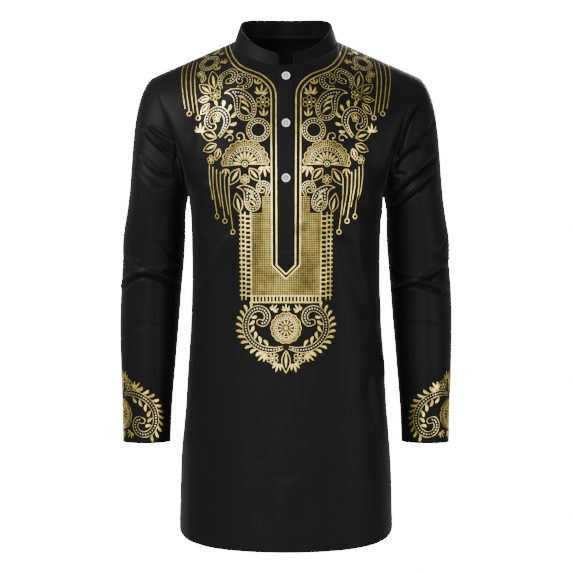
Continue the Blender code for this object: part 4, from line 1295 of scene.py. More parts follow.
for number, height in enumerate(BUTTON_HEIGHTS, 1):
    mesh = set_on(button.data, height, shell, shaded_hollow)
    # The faces of the hollow take the painted shade.
    for face in hollow:
        mesh.polygons[face].material_index = 1
    shirt_piece(placed(f"shell_button_{number}", mesh), "buttons", f"button_{number}")
    mesh = set_on(button_threads.data, height, pale_thread)
    shirt_piece(placed(f"button_thread_{number}", mesh), "buttons")
    print(f"button {number}: {HOLE_SPACING * 1000:.1f} mm between its holes, at z {height:.4f}")
for shape in (button, button_threads):
    bpy.data.objects.remove(shape)


# %% [markdown]
# ## The gold print: a pen
#
# The print is a thin foil pressed on the cloth. A picture of it as a texture would go soft
# close up, so it is drawn as real shapes, a fifth of a millimetre proud of the cloth. A pen
# needs only two strokes. A ribbon follows a path with a width that may change along it, so it
# also makes leaves, petals and drops, and a bead is a low round dot. Both are closed solids.
# Drawings are in millimetres on the flat cloth, and are turned, scaled and mirrored as wanted.

# %% The pen
FOIL_LOW, FOIL_HIGH = -0.10, 0.22  # mm: its foot is pressed into the cloth
FOIL_SLOPE, FOIL_TOP = 0.12, 0.3  # its top is drawn in, but keeps this share of its width
PEN_STEP = 2.4  # mm: the longest straight piece of a ribbon
BEAD_SIDES = 8


def turned(path, angle=0.0, size=1.0, at=(0, 0), flip=False):
    path = np.asarray(path, float) * size * (-1 if flip else 1, 1)
    sine, cosine = math.sin(math.radians(angle)), math.cos(math.radians(angle))
    return path @ np.array([[cosine, sine], [-sine, cosine]]) + at


def left_of(path, closed=False):
    # The way to the left of a path, at each of its points.
    ahead = np.roll(path, -1, 0) - np.roll(path, 1, 0) if closed else np.gradient(path, axis=0)
    return unit(np.stack([-ahead[:, 1], ahead[:, 0]], -1))


def offset(path, by):
    return path + by * left_of(path)


def stepped(path, step, closed=False):
    path = np.concatenate([path, path[:1]]) if closed else path
    long = np.concatenate([[0], np.cumsum(np.linalg.norm(np.diff(path, axis=0), axis=1))])
    count = max(2, math.ceil(long[-1] / step)) + 1
    at = np.linspace(0, long[-1], count)
    found = np.stack([np.interp(at, long, path[:, k]) for k in (0, 1)], axis=-1)
    return found[:-1] if closed else found


class Pen:
    def __init__(self):
        self.points, self.faces, self.dots, self.count = [], [], [], 0

    def add(self, points, faces, dot=False):
        self.points.append(points)
        self.faces.extend([[k + self.count for k in face] for face in faces])
        self.dots.extend([dot] * len(faces))
        self.count += len(points)

    def copied(self, across=1, up=1, shift=(0, 0)):
        # The whole drawing again, mirrored where across or up is -1, and then shifted.
        copy = Pen()
        copy.points = [np.concatenate(self.points) * (across, up, 1) + (*shift, 0)]
        copy.faces = [face[:: across * up] for face in self.faces]
        copy.dots, copy.count = list(self.dots), self.count
        return copy

    def join(self, other):
        dots = self.dots + other.dots
        self.add(np.concatenate(other.points), other.faces)
        self.dots = dots

    def ribbon(self, path, width, closed=False, step=PEN_STEP, lift=0.0):
        path = stepped(np.asarray(path, float), step, closed)
        count = len(path)
        side = left_of(path, closed)
        wide = width(np.linspace(0, 1, count)) if callable(width) else np.full(count, width)
        half = wide[:, None] / 2
        inner = np.maximum(half - FOIL_SLOPE, half * FOIL_TOP)
        low, high = np.full((count, 1), FOIL_LOW), np.full((count, 1), FOIL_HIGH + lift)
        rails = [
            np.hstack([path + side * half, low]),
            np.hstack([path + side * inner, high]),
            np.hstack([path - side * inner, high]),
            np.hstack([path - side * half, low]),
        ]
        faces = []
        for k in range(count if closed else count - 1):
            here, there = 4 * k, 4 * ((k + 1) % count)
            for a, b in ((0, 1), (1, 2), (2, 3), (3, 0)):
                faces.append([here + a, here + b, there + b, there + a])
        if not closed:
            last = 4 * (count - 1)
            faces += [[3, 2, 1, 0], [last, last + 1, last + 2, last + 3]]
        self.add(np.stack(rails, 1).reshape(-1, 3), faces)

    def bead(self, at, radius):
        turn = np.arange(BEAD_SIDES) * TAU / BEAD_SIDES
        ring = np.stack([np.cos(turn), np.sin(turn)], -1)
        n, flat = BEAD_SIDES, np.ones((BEAD_SIDES, 1))
        low = np.hstack([ring * radius + at, flat * FOIL_LOW])
        high = np.hstack([ring * (radius - FOIL_SLOPE) + at, flat * FOIL_HIGH])
        faces = [[k, (k + 1) % n, (k + 1) % n + n, k + n] for k in range(n)]
        faces += [list(range(n, 2 * n)), list(range(n))[::-1]]
        self.add(np.vstack([low, high]), faces, dot=True)


# %% [markdown]
# ## The gold print: its motifs
#
# These are the ordinary ornaments of printed cottons. A beaded stem is two lines with a row
# of dots between them, and it bends into a ring, a curl or a paisley. A leaf is an outline
# with dots and a solid heart, a flower is a ring of small rings, a sprig is a few drops
# that spread from one point, and a palmette is a half round of petals under a scalloped rim.
# Each is drawn round its own centre by a formula, and then placed by turn and size.

# %% Motifs
LINE = 1.05  # mm: the width of a fine line
BEAD, BEAD_PITCH = 1.1, 4.4
NET_PITCH, NET_LINE = 2.8, 0.56
LEAF_WITH_DOTS = 10.5  # a leaf has dots only where its half is wider than this
CURL_TURNS, TENDRIL_TURNS, TENDRIL_STEM = 0.75, 0.62, 0.6
SPRIG_SPREAD, SPRIG_WIDE = 37, 0.19
PAISLEY_WIDE, PAISLEY_BEND = 0.52, 1.9


def circle(radius, start=0.0, end=360.0, count=49):
    turn = np.radians(np.linspace(start, end, count))
    return radius * np.stack([np.cos(turn), np.sin(turn)], -1)


def drop_width(wide):
    return lambda t: wide * (0.25 + 0.75 * np.sin(math.pi * np.clip(t, 0, 1) ** 1.5) ** 0.8)


def leaf_width(wide):
    return lambda t: 0.25 + wide * np.sin(math.pi * t) ** 0.8


def drop(pen, start, end, wide, bow=0.0, pointed=False):
    start, end = np.asarray(start, float), np.asarray(end, float)
    t = np.linspace(0, 1, 9)[:, None]
    sideways = np.array([-(end - start)[1], (end - start)[0]])
    path = start + (end - start) * t + sideways * bow * np.sin(math.pi * t)
    pen.ribbon(path, leaf_width(wide) if pointed else drop_width(wide), step=1.6)


def beads(pen, path, pitch=BEAD_PITCH, radius=BEAD):
    for at in stepped(path, pitch)[1:-1]:
        pen.bead(at, radius)


def beaded(pen, path, wide):
    # wide is the stem's full width along the path, from 0 to 1. Its end is round.
    half = np.interp(np.linspace(0, 1, len(path)), *wide)[:, None] / 2
    side = left_of(path)
    ahead = np.array([side[-1, 1], -side[-1, 0]])
    bend = circle(1, 90, -90, 9)[1:-1]
    cap = path[-1] + half[-1] * (bend[:, :1] * ahead + bend[:, 1:] * side[-1])
    outline = np.concatenate([path + side * half, cap, (path - side * half)[::-1]])
    pen.ribbon(outline, LINE, step=1.9)
    inside = half[:, 0] > BEAD + LINE
    if inside.sum() > 3:
        beads(pen, path[inside])


def curl_path(size, turns, stem):
    # A stem that rises and then winds inwards like a fern.
    t = np.linspace(0, 1, 60)
    angle = math.pi - TAU * turns * t
    radius = size * (0.5 - 0.30 * t)
    centre = np.array([size * 0.5, 0.0])
    winding = centre + radius[:, None] * np.stack([np.cos(angle), np.sin(angle)], -1)
    foot = np.linspace(0, 1, 20)[:, None]
    low, handle = np.array([(size * 0.22, -size * stem), (0, -size * 0.45 * stem)])
    bend = (1 - foot) ** 2 * low + 2 * foot * (1 - foot) * handle + foot**2 * winding[0]
    return np.concatenate([bend[:-1], winding])


def curl(pen, at, size, angle, wide, stem, flip=False, drops=0):
    # at is the foot of its stem.
    path = curl_path(size, CURL_TURNS, stem)
    path = turned(path - path[0], angle, 1.0, at, flip)
    beaded(pen, path, ([0, 0.25, 0.8, 1.0], [wide * 0.40, wide, wide, wide * 1.1]))
    if drops:
        side = -1 if flip else 1
        edge = offset(path[: int(len(path) * 0.62)], side * wide * 0.5)
        row_of_drops(pen, edge, size * 0.27, drops, lean=side * 58, start=0.16, end=0.80)


def tendril(pen, at, size, angle, flip=False):
    # A thin curl with a dot at its end.
    path = curl_path(size, TENDRIL_TURNS, TENDRIL_STEM)
    path = turned(path - path[0], angle, 1.0, at, flip)
    pen.ribbon(path, lambda t: LINE * (1.5 - 0.7 * t), step=1.6)
    pen.bead(path[-1], BEAD * 1.3)


def ring(pen, at, radius):
    pen.ribbon(circle(radius) + at, LINE * 1.2, closed=True, step=1.9)
    inner = radius - 2 * BEAD - 4.4 * LINE
    pen.ribbon(circle(inner) + at, LINE * 1.2, closed=True, step=1.7)
    beads(pen, circle((radius + inner) / 2) + at)
    pen.bead(circle((radius + inner) / 2)[0] + at, BEAD)


def leaf(pen, at, size, angle, wide):
    t = np.linspace(0, 1, 21)
    edge = np.stack([wide * size * np.sin(math.pi * t) ** 0.9 * (1 - 0.25 * t), size * t], -1)
    for side in (1, -1):
        pen.ribbon(turned(edge * (side, 1), angle, 1, at), LINE, step=1.9)
        if wide * size > LEAF_WITH_DOTS:
            inner = edge[3:-4] * (side * 0.62, 0.92) + (0, size * 0.04)
            beads(pen, turned(inner, angle, 1, at), pitch=3.4, radius=BEAD * 0.8)
    heart = np.stack([0 * t, size * (0.10 + 0.66 * t)], -1)
    pen.ribbon(turned(heart, angle, 1, at), leaf_width(wide * size * 0.42), step=1.8)


def flower(pen, at, size, petals):
    small = size * math.sin(math.pi / petals) / (1 + math.sin(math.pi / petals))
    centres = circle(size - small, 90, 450, petals + 1)[:-1] + at
    for centre in centres:
        pen.ribbon(circle(small * 0.88, count=19) + centre, LINE * 0.85, closed=True, step=1.4)
    pen.bead(at, size * 0.19)


def sprig(pen, at, size, angle, count=5):
    for k in range(count):
        from_middle = k - (count - 1) / 2
        long = size * (1 - 0.16 * abs(from_middle))
        tip = turned([(0, long)], angle + from_middle * SPRIG_SPREAD, 1, at)[0]
        drop(pen, at, tip, SPRIG_WIDE * size, bow=0.15 * np.sign(from_middle), pointed=True)


def row_of_drops(pen, path, size, count, lean, start, end, wide=0.42):
    path = stepped(path, 0.5)
    ahead = turned(left_of(path), -90)
    for share in np.linspace(start, end, count):
        k = int(round(share * (len(path) - 1)))
        out = turned(ahead[k], lean)
        long = size * (0.8 + 0.2 * math.sin(math.pi * share))
        drop(pen, path[k] + out * 0.8, path[k] + out * long, wide * size, bow=0.12)


def paisley(pen, at, size, angle):
    # A drop whose tip bends over: its spine turns as it rises, and the outline rides on it.
    wide, fine = PAISLEY_WIDE, np.linspace(0, 1, 201)
    lean = PAISLEY_BEND * fine**2
    spine = np.cumsum(np.stack([np.sin(lean), np.cos(lean)], -1), axis=0) / len(fine)

    def on_spine(rise):
        return np.stack([np.interp(rise, fine, spine[:, k]) for k in (0, 1)], -1)

    def outline(width, start, end):
        t = np.linspace(0, TAU, 91)
        rise = start + (end - start) * (1 + np.cos(t)) / 2
        sideways = width * np.sin(t) * np.abs(np.sin(t / 2)) ** 1.5 / 2 * 1.25
        turn = PAISLEY_BEND * rise**2
        path = on_spine(rise) + sideways[:, None] * np.stack([np.cos(turn), -np.sin(turn)], -1)
        return turned(path[:-1] * size, angle, 1, at)

    gap = (2 * BEAD + 4.2 * LINE) / size
    pen.ribbon(outline(wide, 0, 1), LINE * 1.15, closed=True, step=1.9)
    middle = outline(wide - gap * 1.05, gap * 0.55, 1 - gap * 2.2)
    pen.bead(middle[0], BEAD)
    beads(pen, np.concatenate([middle, middle[:1]]))
    pen.ribbon(outline(wide - gap * 2.1, gap * 1.1, 1 - gap * 4.2), LINE, closed=True, step=1.8)
    for k, share in enumerate((0.25, 0.40, 0.55)):
        ends = on_spine(np.array([share - 0.10, share + 0.06]))
        ends[:, 0] += wide * np.array([-0.13, 0.16 - 0.05 * k])
        root, tip = turned(ends, angle, size, at)
        drop(pen, root, tip, wide * size * 0.10, bow=0.14)


def palmette(pen, at, size, petals, opens):
    def put(path):
        return turned(path, at=at)

    def spoke(lean, start, end):
        return put(circle(size, lean, lean, 1) * ((start,), (end,)))

    first, last = 90 - opens / 2, 90 + opens / 2
    # Scalloped rim over a net.
    scallops = petals + 2
    turn = np.linspace(first, last, scallops * 8 + 1)
    bulge = 0.93 + 0.07 * np.abs(np.sin(np.radians((turn - first) / opens * scallops * 180)))
    rim = bulge[:, None] * circle(size, first, last, len(turn))
    pen.ribbon(put(rim), LINE, step=1.7)
    for radius in np.arange(size * 0.72 + NET_PITCH, size * 0.93, NET_PITCH):
        pen.ribbon(put(circle(radius, first, last)), NET_LINE, step=1.9)
    for lean in np.linspace(first, last, int(math.radians(opens) * size * 0.8 / NET_PITCH)):
        pen.ribbon(spoke(lean, 0.72, 0.94), NET_LINE, lift=0.05)
    pen.ribbon(put(circle(size * 0.72, first, last)), LINE * 1.2, step=1.8)
    beads(pen, put(circle(size * 0.64, first, last)))
    pen.ribbon(put(circle(size * 0.56, first, last)), LINE, step=1.8)
    for side in (first, last) if opens < 360 else ():
        pen.ribbon(spoke(side, 0.14, 0.95), LINE * 1.2)
    for k in range(petals):
        drop(pen, *spoke(first + opens * (k + 0.5) / petals, 0.19, 0.51), size * 0.085)
    pen.ribbon(put(circle(size * 0.11)), LINE, closed=True, step=1.4)
    pen.bead(at, size * 0.045)


# %% [markdown]
# ## The gold print: the yoke and the pendant
#
# The layout is the old one of such shirts. A double line runs round the neck and down both
# sides of the placket to a point. Outside it the yoke is filled with ornament that thins out
# towards the armholes, strands hang from its edge with a ring at their ends, a checked panel
# with a ladder border frames the placket's end, and a pendant closes it below. One half is
# drawn and mirrored.

# %% Lines, strands and panel
# Millimetres on the flat front, from the middle of its neck. The line starts at the shoulder.
NECK_LINE = (
    *((107.3, 83.4), (104.6, 74.2), (101.4, 64.0), (97.7, 52.0), (93.0, 39.8), (88.1, 29.2)),
    *((82.6, 18.6), (75.2, 7.0), (66.4, -1.6), (57.0, -7.4), (46.7, -12.2), (37.1, -17.9)),
    *((29.3, -24.3), (23.1, -31.4), (18.5, -39.0), (16.1, -47.1), (15.3, -58.0), (15.3, -72.0)),
)
PLACKET_END, NECK_WIDE = -322.0, 2.0
LINE_APART = 7.2
PLACKET_TIP, OUTER_TIP = -337.0, -344.5
PANEL_INNER, PANEL_OUTER = 56.5, (65.6, 72.4, 75.6)
PANEL_TOP, PANEL_LOW, PANEL_FOOT = -238.0, -372.0, -382.5
PANEL_STEP, PANEL_NARROW = 26.0, 38.0  # it reaches higher beside the placket
CHECK_PITCH, CHECK_LINE = 2.9, 0.48
RUNG_PITCH, DASH_PITCH = 7.6, 5.75
CURVE_POINTS = 160
STRAND, STRAND_SWAY, STRAND_BEND = 1.35, np.array([1.6, 0]), 1.3


def curve(path):
    # A smooth curve through a few points (Catmull-Rom).
    path = np.asarray(path, float)
    ends = np.vstack([2 * path[0] - path[1], path, 2 * path[-1] - path[-2]])
    t = np.linspace(0, len(path) - 1 - 1e-9, CURVE_POINTS)
    k, s = t.astype(int), (t % 1)[:, None]
    a, b, c, d = (ends[k + n] for n in range(4))
    bend = (2 * a - 5 * b + 4 * c - d) * s**2 + (3 * b - a - 3 * c + d) * s**3
    return b + ((c - a) * s + bend) / 2


def neck_lines(pen):
    bend = curve(NECK_LINE)
    for line, tip in ((bend, PLACKET_TIP), (offset(bend, LINE_APART), OUTER_TIP)):
        pen.ribbon(np.vstack([line, [(line[-1][0], PLACKET_END), (0, tip)]]), NECK_WIDE)


def strands(pen):
    for top, low, end in (
        ((-178.8, 47.6), (-166.0, -58.5), 0),
        ((-169.8, 42.6), (-158.9, -64.5), 3.6),
        ((-160.4, 39.2), (-151.6, -67.1), 0),
        ((-153.0, 37.7), (-144.5, -73.1), 3.6),
        ((-124.0, -157.0), (-121.5, -214.0), 0),
        ((-117.5, -161.0), (-115.0, -238.0), 3.6),
        ((-111.0, -166.0), (-107.5, -226.0), 0),
        ((-104.5, -170.0), (-100.7, -246.0), 3.6),
        ((-97.5, -176.0), (-94.0, -240.0), 0),
        ((-90.5, -180.0), (-87.3, -264.0), 3.6),
    ):
        top, low = np.array(top) * (-1, 1), np.array(low) * (-1, 1)
        t = np.linspace(0, 1, 30)[:, None]
        path = top + (low - top) * t + STRAND_SWAY * np.sin(math.pi * t * STRAND_BEND)
        pen.ribbon(path, STRAND)
        if end:
            foot = path[-1] - (0, end)
            pen.ribbon(circle(end, count=21) + foot, 1.5, closed=True, step=1.5)


def checked_panel(pen):
    edge, corner = NECK_LINE[-1][0] + LINE_APART, PLACKET_END

    def under_lines(x):
        return min(OUTER_TIP + x / edge * (corner - OUTER_TIP), PANEL_TOP + PANEL_STEP)

    for x in np.arange(CHECK_PITCH / 2, PANEL_INNER, CHECK_PITCH):
        top = PANEL_TOP + (PANEL_STEP if x < PANEL_NARROW else 0) if x > edge else under_lines(x)
        pen.ribbon([(x, top), (x, PANEL_LOW)], CHECK_LINE, step=3.2)
    for y in np.arange(PANEL_LOW + CHECK_PITCH, PANEL_TOP + PANEL_STEP, CHECK_PITCH):
        start = max(0.0, (y - OUTER_TIP) / (corner - OUTER_TIP) * edge) if y < corner else edge
        end = PANEL_INNER if y < PANEL_TOP else PANEL_NARROW
        pen.ribbon([(start, y), (end, y)], CHECK_LINE, step=3.2, lift=0.05)
    # The ladder beside it, and the row of dashes below it.
    pen.ribbon([(PANEL_INNER, PANEL_TOP + 2), (PANEL_INNER, PANEL_FOOT)], 1.9)
    for x in PANEL_OUTER[:2]:
        pen.ribbon([(x, PANEL_TOP + 2), (x, PANEL_FOOT + 4)], 1.5)
    for y in np.arange(PANEL_LOW, PANEL_TOP, RUNG_PITCH):
        pen.ribbon([(PANEL_INNER, y), (PANEL_OUTER[0], y)], 2.3, lift=0.05)
        pen.ribbon([(PANEL_OUTER[0], y + 1.5), (PANEL_OUTER[2], y + 1.5)], 2.3, lift=0.05)
    for y in (PANEL_LOW, PANEL_FOOT):
        pen.ribbon([(0, y), (PANEL_INNER + 1, y)], 1.9, lift=0.05)
    for x in np.arange(DASH_PITCH / 2, PANEL_INNER, DASH_PITCH):
        pen.ribbon([(x, PANEL_LOW), (x, PANEL_FOOT)], 2.2)


# %% Yoke and pendant
def yoke(pen):
    # Under the curve of the neck.
    flower(pen, (35.5, -63), 11, 6)
    sprig(pen, (38, -49), 16, 4)
    sprig(pen, (34, -85), 12, 0, 3)
    paisley(pen, (60, -92), 70, -2)
    curl(pen, (75, -37), 26, 64, wide=7.6, stem=0.5)
    sprig(pen, (45, -33), 11, 20, 3)
    curl(pen, (101, -35), 32, 8, flip=True, wide=8.4, stem=0.60)
    # Below the seam of the shoulder.
    ring(pen, (130, 27), 17)
    leaf(pen, (127, 50), 20, 26, 0.30)
    leaf(pen, (136, 47), 18, -52, 0.30)
    sprig(pen, (105.5, 20), 11, 24)
    sprig(pen, (113, 44), 9, 10, 3)
    flower(pen, (142, 4), 7, 5)
    leaf(pen, (114, -32), 38, -12, 0.25)
    leaf(pen, (122, -37), 28, -46, 0.29)
    sprig(pen, (112.5, 6), 11, -16, 3)
    leaf(pen, (138, -15), 16, 14, 0.30)
    leaf(pen, (123, -46), 20, -92, 0.31)
    # Over the chest, towards the armhole.
    flower(pen, (112, -44), 10.5, 6)
    leaf(pen, (123, -56), 22, -134, 0.32)
    curl(pen, (105, -114), 46, 10, wide=9.4, stem=0.54, drops=6)
    flower(pen, (109, -83), 7.5, 5)
    tendril(pen, (95, -117), 13, 78, flip=True)
    sprig(pen, (141, -100), 14, 8)
    tendril(pen, (64, -122), 14, -30)
    leaf(pen, (110, -115), 30, -66, 0.31)
    leaf(pen, (110, -126), 26, -106, 0.31)
    leaf(pen, (105, -133), 19, -160, 0.32)
    flower(pen, (121, -149), 7.5, 5)
    # The palmette in the middle, and what hangs below it.
    palmette(pen, (64, -160), 38, petals=9, opens=184)
    ring(pen, (42.5, -107), 18)
    leaf(pen, (57, -167), 26, 142, 0.30)
    leaf(pen, (73, -167), 30, -146, 0.30)
    flower(pen, (64.5, -184), 8, 6)
    sprig(pen, (34, -166), 15, 172)
    sprig(pen, (95, -166), 12, -176, 3)
    paisley(pen, (53, -235), 54, 2)
    curl(pen, (31.5, -211), 20, 0, wide=6.6, stem=0.6)
    leaf(pen, (74, -236), 30, -10, 0.28)


SCROLL = (
    *((5, -74), (20, -77.5), (38, -75.5), (54, -66), (64.5, -50), (66, -32)),
    *((59, -17), (46.5, -10), (34.5, -14), (30.5, -25), (36, -34), (43, -32.5)),
)


def pendant():
    # Drawn from its own top, in two halves, with a rosette between them.
    pen = Pen()
    stem = curve(SCROLL)
    beaded(pen, stem, ([0, 0.12, 0.8, 1], [4.0, 9.0, 9.0, 9.6]))
    outer, inner = offset(stem[:112], -4.9), offset(stem[:84], 4.9)
    row_of_drops(pen, outer, 13, 12, lean=-56, start=0.18, end=0.84, wide=0.34)
    row_of_drops(pen, inner, 13, 6, lean=52, start=0.26, end=0.98, wide=0.36)
    flower(pen, (22, -91), 10, 6)
    sprig(pen, (21, -13), 11, 34)
    sprig(pen, (13, -101), 13, 196)
    sprig(pen, (36, -85), 14, 222)
    pen.join(pen.copied(across=-1))
    palmette(pen, (0, -42), 25, petals=12, opens=360)
    leaf(pen, (0, -79), 36, 180, 0.22)
    sprig(pen, (0, -13), 11, 0)
    return pen

# %% [markdown]
# ## The gold print: on the cloth
#
# A print belongs to the flat cloth, so it bends with every crease. Each point of a drawing
# is looked up in the flat pattern, and the same three corners and shares that hold it there
# place it on the shirt, a little above the face along its normal. Foil is metal: its colour
# comes from what it reflects, bright where it faces the light and bronze where it turns
# away. Its colour is also blotched at random between brown and pale yellow. This is partly
# rubbed wear and partly painted shade and painted highlight. The dots are painted paler than
# the lines, as a painted highlight for the light they catch.

# %% From the flat to the shirt
MM = 0.001


def carried(name, pen, pattern, *finishes):
    flat, outer, normals = pattern
    rows, columns = flat.shape[:2]
    number = np.arange(rows * columns).reshape(rows, columns)
    a, b, c, d = number[:-1, :-1], number[:-1, 1:], number[1:, 1:], number[1:, :-1]
    thirds = np.concatenate([np.stack(t, -1).reshape(-1, 3) for t in ((a, b, c), (a, c, d))])
    ground = np.pad(flat.reshape(-1, 2), ((0, 0), (0, 1)))
    tree = BVHTree.FromPolygons(ground.tolist(), thirds.tolist())
    drawn = np.concatenate(pen.points) * MM
    held_by = thirds[[tree.find_nearest((x, y, 0))[2] for x, y, _ in drawn]]

    def span(one, other):
        return one[:, 0] * other[:, 1] - one[:, 1] * other[:, 0]

    corner, *others = (ground[held_by[:, k]] for k in range(3))
    second, third, off = (point - corner for point in (*others, drawn))
    share = np.stack([span(off, third), span(second, off)], -1) / span(second, third)[:, None]
    share = np.concatenate([1 - share.sum(-1, keepdims=True), share], axis=-1)[..., None]
    place = (outer.reshape(-1, 3)[held_by] * share).sum(1)
    normal = unit((normals.reshape(-1, 3)[held_by] * share).sum(1))

    mesh = bpy.data.meshes.new(name)
    mesh.from_pydata(place + normal * drawn[:, 2:], [], pen.faces)
    for finish in finishes:
        mesh.materials.append(finish)
    if len(finishes) > 1:
        mesh.polygons.foreach_set("material_index", np.array(pen.dots, np.int32))
    print(f"{name}: {len(pen.faces)} faces")
    return shirt_piece(placed(name, mesh), "cloth")


def foil_finish(name, worn_and_shaded, bright, rough):
    made = Finish(name, Metallic=1.0)
    rubbed_and_highlight, grain = made.noise(made.place(), 110, 3), made.noise(made.place(), 900, 2)
    # The blend runs at random between brown and pale yellow. It is partly rubbed wear and partly
    # painted shade and painted highlight.
    fresh_and_highlit = (rubbed_and_highlight * 0.7 + grain * 0.3 - 0.5) * 3.0 + 0.6
    shine = rubbed_and_highlight * 0.14 + grain * 0.10 + rough
    made.to(Base_Color=made.blend(fresh_and_highlit, worn_and_shaded, bright), Roughness=shine)
    made.bump(grain, 0.25, 0.00005)
    return made.material


gold = foil_finish("gold foil", (0.52, 0.28, 0.05, 1), (1.0, 0.85, 0.20, 1), 0.22)
# The dots get paler colours than the lines: a painted highlight for the light they catch.
highlit_dot_gold = foil_finish("gold dots", (1.0, 0.88, 0.50, 1), (1.0, 0.95, 0.72, 1), 0.25)

# %% [markdown]
# The front's print is one drawing and its mirror image, in five pieces. The hanging ornament
# is used again on the cuffs, upside down, with its middle just before the sleeve's outer line,
# so it goes round from the front of the sleeve to the back.

# %% The print on the front and the cuffs
CUFF_GAP, CUFF_FORWARD = 5.0, 19.0  # mm: above the sleeve's edge, and before its outer line
prints = {"front": [], "sleeve_left": [], "sleeve_right": []}


def printed(on, name, pen):
    prints[on].append(carried(f"gold_{name}", pen, patterns[on], gold, highlit_dot_gold))


for draw in (neck_lines, strands, checked_panel, yoke):
    pen = Pen()
    draw(pen)
    pen.join(pen.copied(across=-1))
    printed("front", draw.__name__, pen)
hanging = pendant()
printed("front", "pendant", hanging.copied(shift=(0, PANEL_FOOT)))
for name, forward in (("sleeve_left", -CUFF_FORWARD), ("sleeve_right", CUFF_FORWARD)):
    edge = patterns[name][0][-1, CHEST_CELLS, 1] / MM
    printed(name, name, hanging.copied(up=-1, shift=(forward, edge + CUFF_GAP)))

# %% [markdown]
# ## Stitches
#
# A row of machine stitches holds the turned edges: round the hem and the cuffs, along the
# collar's edge, round the upper strip of the placket with a bar across above its point, and
# across both ends of the label. A stitch is a short rounded thread that dips into the cloth
# at both ends, so the same pen draws it.

# %% Rows of stitches
STITCH_PITCH, STITCH_LONG, STITCH_WIDE = 2.9, 2.2, 0.46  # mm


def stitch_width(t):
    return STITCH_WIDE * (0.5 + 0.5 * np.sin(math.pi * t))


def stitched(pen, path):
    path = stepped(np.asarray(path) / MM, STITCH_PITCH)
    for start, end in zip(path[:-1], path[1:]):
        stop = start + (end - start) * STITCH_LONG / STITCH_PITCH
        pen.ribbon([start, stop], stitch_width, step=0.75)


def round_three_sides(flat, away):
    # Up one end, along the top and down the other, a little inside the edge.
    edge = np.concatenate([flat[:-1, 0], flat[-1], flat[-2::-1, -1]])
    return offset(stepped(edge, 0.001), -away)


EDGE_STITCH = 0.0022
BAR_HIGH, BAR_POINT = 0.0265, 0.014  # the bar's peak, and how much lower its ends are
collar_line = round_three_sides(patterns["collar"][0], EDGE_STITCH)
strip = patterns["over"][0]
height = strip[:, 0, 1]
sides = strip[(height > EDGE_STITCH) & (height < height[-1] - EDGE_STITCH)]
left, right = sides[:, 0] + (EDGE_STITCH, 0), sides[:, -1] - (EDGE_STITCH, 0)
strip_line = np.concatenate([left[::-1], right])
at = np.argmax(sides[:, 0, 1] > BAR_HIGH - BAR_POINT)
bar = np.array([left[at], ((left[at, 0] + right[at, 0]) / 2, BAR_HIGH), right[at]])
label_ends = [patterns["label"][0][1:-1, column] for column in (2, -3)]

stitch_rows = {}
for name, lines in (
    ("front", [patterns["front"][0][4]]),
    ("back", [patterns["back"][0][4]]),
    ("sleeve_left", [patterns["sleeve_left"][0][-5]]),
    ("sleeve_right", [patterns["sleeve_right"][0][-5]]),
    ("collar", [collar_line]),
    ("over", [strip_line, bar]),
    ("label", label_ends),
):
    pen = Pen()
    for line in lines:
        stitched(pen, line)
    stitch_rows[name] = carried(f"stitches_{name}", pen, patterns[name], thread.material)

# %% [markdown]
# ## Studio
#
# Black satin shows its shape only by its sheen, so the lights are large and soft: the key
# high on the viewer's left, a broad panel straight in front, a weaker tall one on the right
# and one behind, with pale surroundings. The pale floor lies below the hem, out of view.

# %% Floor and lights
FLOOR_Z, FLOOR_RADIUS = -1.16, 1.2


def light(name, place, aim, size, power):
    bpy.ops.object.light_add(type="AREA", location=place)
    made = bpy.context.object
    made.name = name
    made.rotation_euler = (Vector(aim) - Vector(place)).to_track_quat("-Z", "Y").to_euler()
    made.data.shape = "RECTANGLE"
    made.data.size, made.data.size_y = size
    made.data.energy = power
    print(f"light {name}: {power} W")


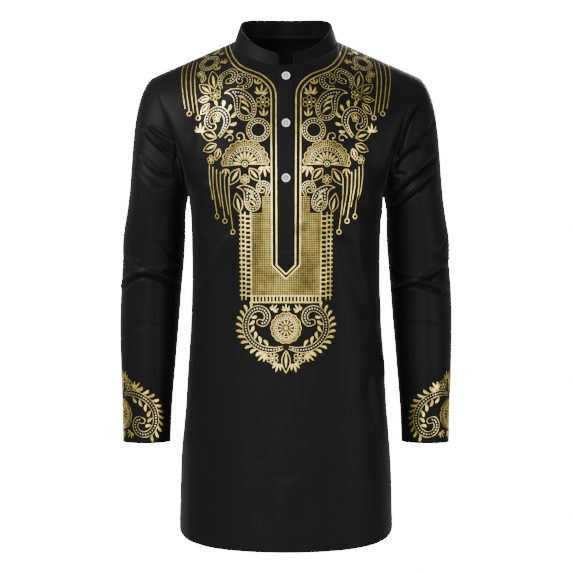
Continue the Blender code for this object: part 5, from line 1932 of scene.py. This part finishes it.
light("key", (-1.9, -1.35, 1.15), (0, 0, -0.25), (0.9, 0.8), 95)
light("front", (-0.2, -2.9, 0.05), (0, 0, -0.3), (1.3, 1.0), 48)
light("fill", (1.8, -1.5, -0.1), (0, 0, -0.4), (0.6, 1.6), 30)
light("back", (0.4, 2.2, 0.9), (0, 0, -0.3), (1.8, 1.2), 30)

bpy.ops.mesh.primitive_circle_add(vertices=96, radius=FLOOR_RADIUS, fill_type="NGON")
floor = bpy.context.object
floor.location = (0, 0, FLOOR_Z)
floor.name = "floor"
pale = Finish("pale floor", Roughness=0.8)
speck = pale.noise(pale.place(), 40, 2)
pale.to(Base_Color=pale.blend(speck, (0.86, 0.86, 0.86, 1), (0.90, 0.90, 0.90, 1)))
floor.data.materials.append(pale.material)

# The camera sees white behind the shirt, while the cloth is lit by a much dimmer grey.
SURROUNDINGS, BACKDROP = (0.34, 0.34, 0.345, 1), (16, 16, 16, 1)
world = bpy.data.worlds.new("studio")
bpy.context.scene.world = world
world.use_nodes = True
nodes, links = world.node_tree.nodes, world.node_tree.links
seen = nodes.new("ShaderNodeLightPath")
mix = nodes.new("ShaderNodeMix")
mix.data_type = "RGBA"
mix.inputs[6].default_value = SURROUNDINGS
mix.inputs[7].default_value = BACKDROP
links.new(seen.outputs["Is Camera Ray"], mix.inputs[0])
links.new(mix.outputs[2], nodes["Background"].inputs["Color"])

# %% Finish
# Width and length in metres, then the area in square metres, as the pieces aren't
# rectangles. A sleeve's width is its whole way round at the armpit.
body, sleeve = [panels["front"], panels["back"]], ((0.390, 0.617), 0.183)
cuts = [
    ("front", panels["front"], (0.500, 0.870), 0.373, "hung", []),
    ("back", panels["back"], (0.482, 0.896), 0.375, "hung", []),
    ("sleeve_left", panels["sleeve_left"], *sleeve, "hung", body),
    ("sleeve_right", panels["sleeve_right"], *sleeve, "hung", body),
    ("collar", collar, (0.524, 0.032), 0.0136, "stretched", body),
    ("over", strips["over"], (0.027, 0.334), 0.0081, "laid", body[:1]),
    ("under", strips["under"], (0.027, 0.332), 0.0080, "laid", body[:1]),
    ("label", label, (0.087, 0.021), 0.0018, "laid", [collar]),
]
for name, piece, cut, area, held, rests_on in cuts:
    sewn_on = [*prints.get(name, []), *([stitch_rows[name]] if name in stitch_rows else [])]
print(f"{len(cuts)} sheets")
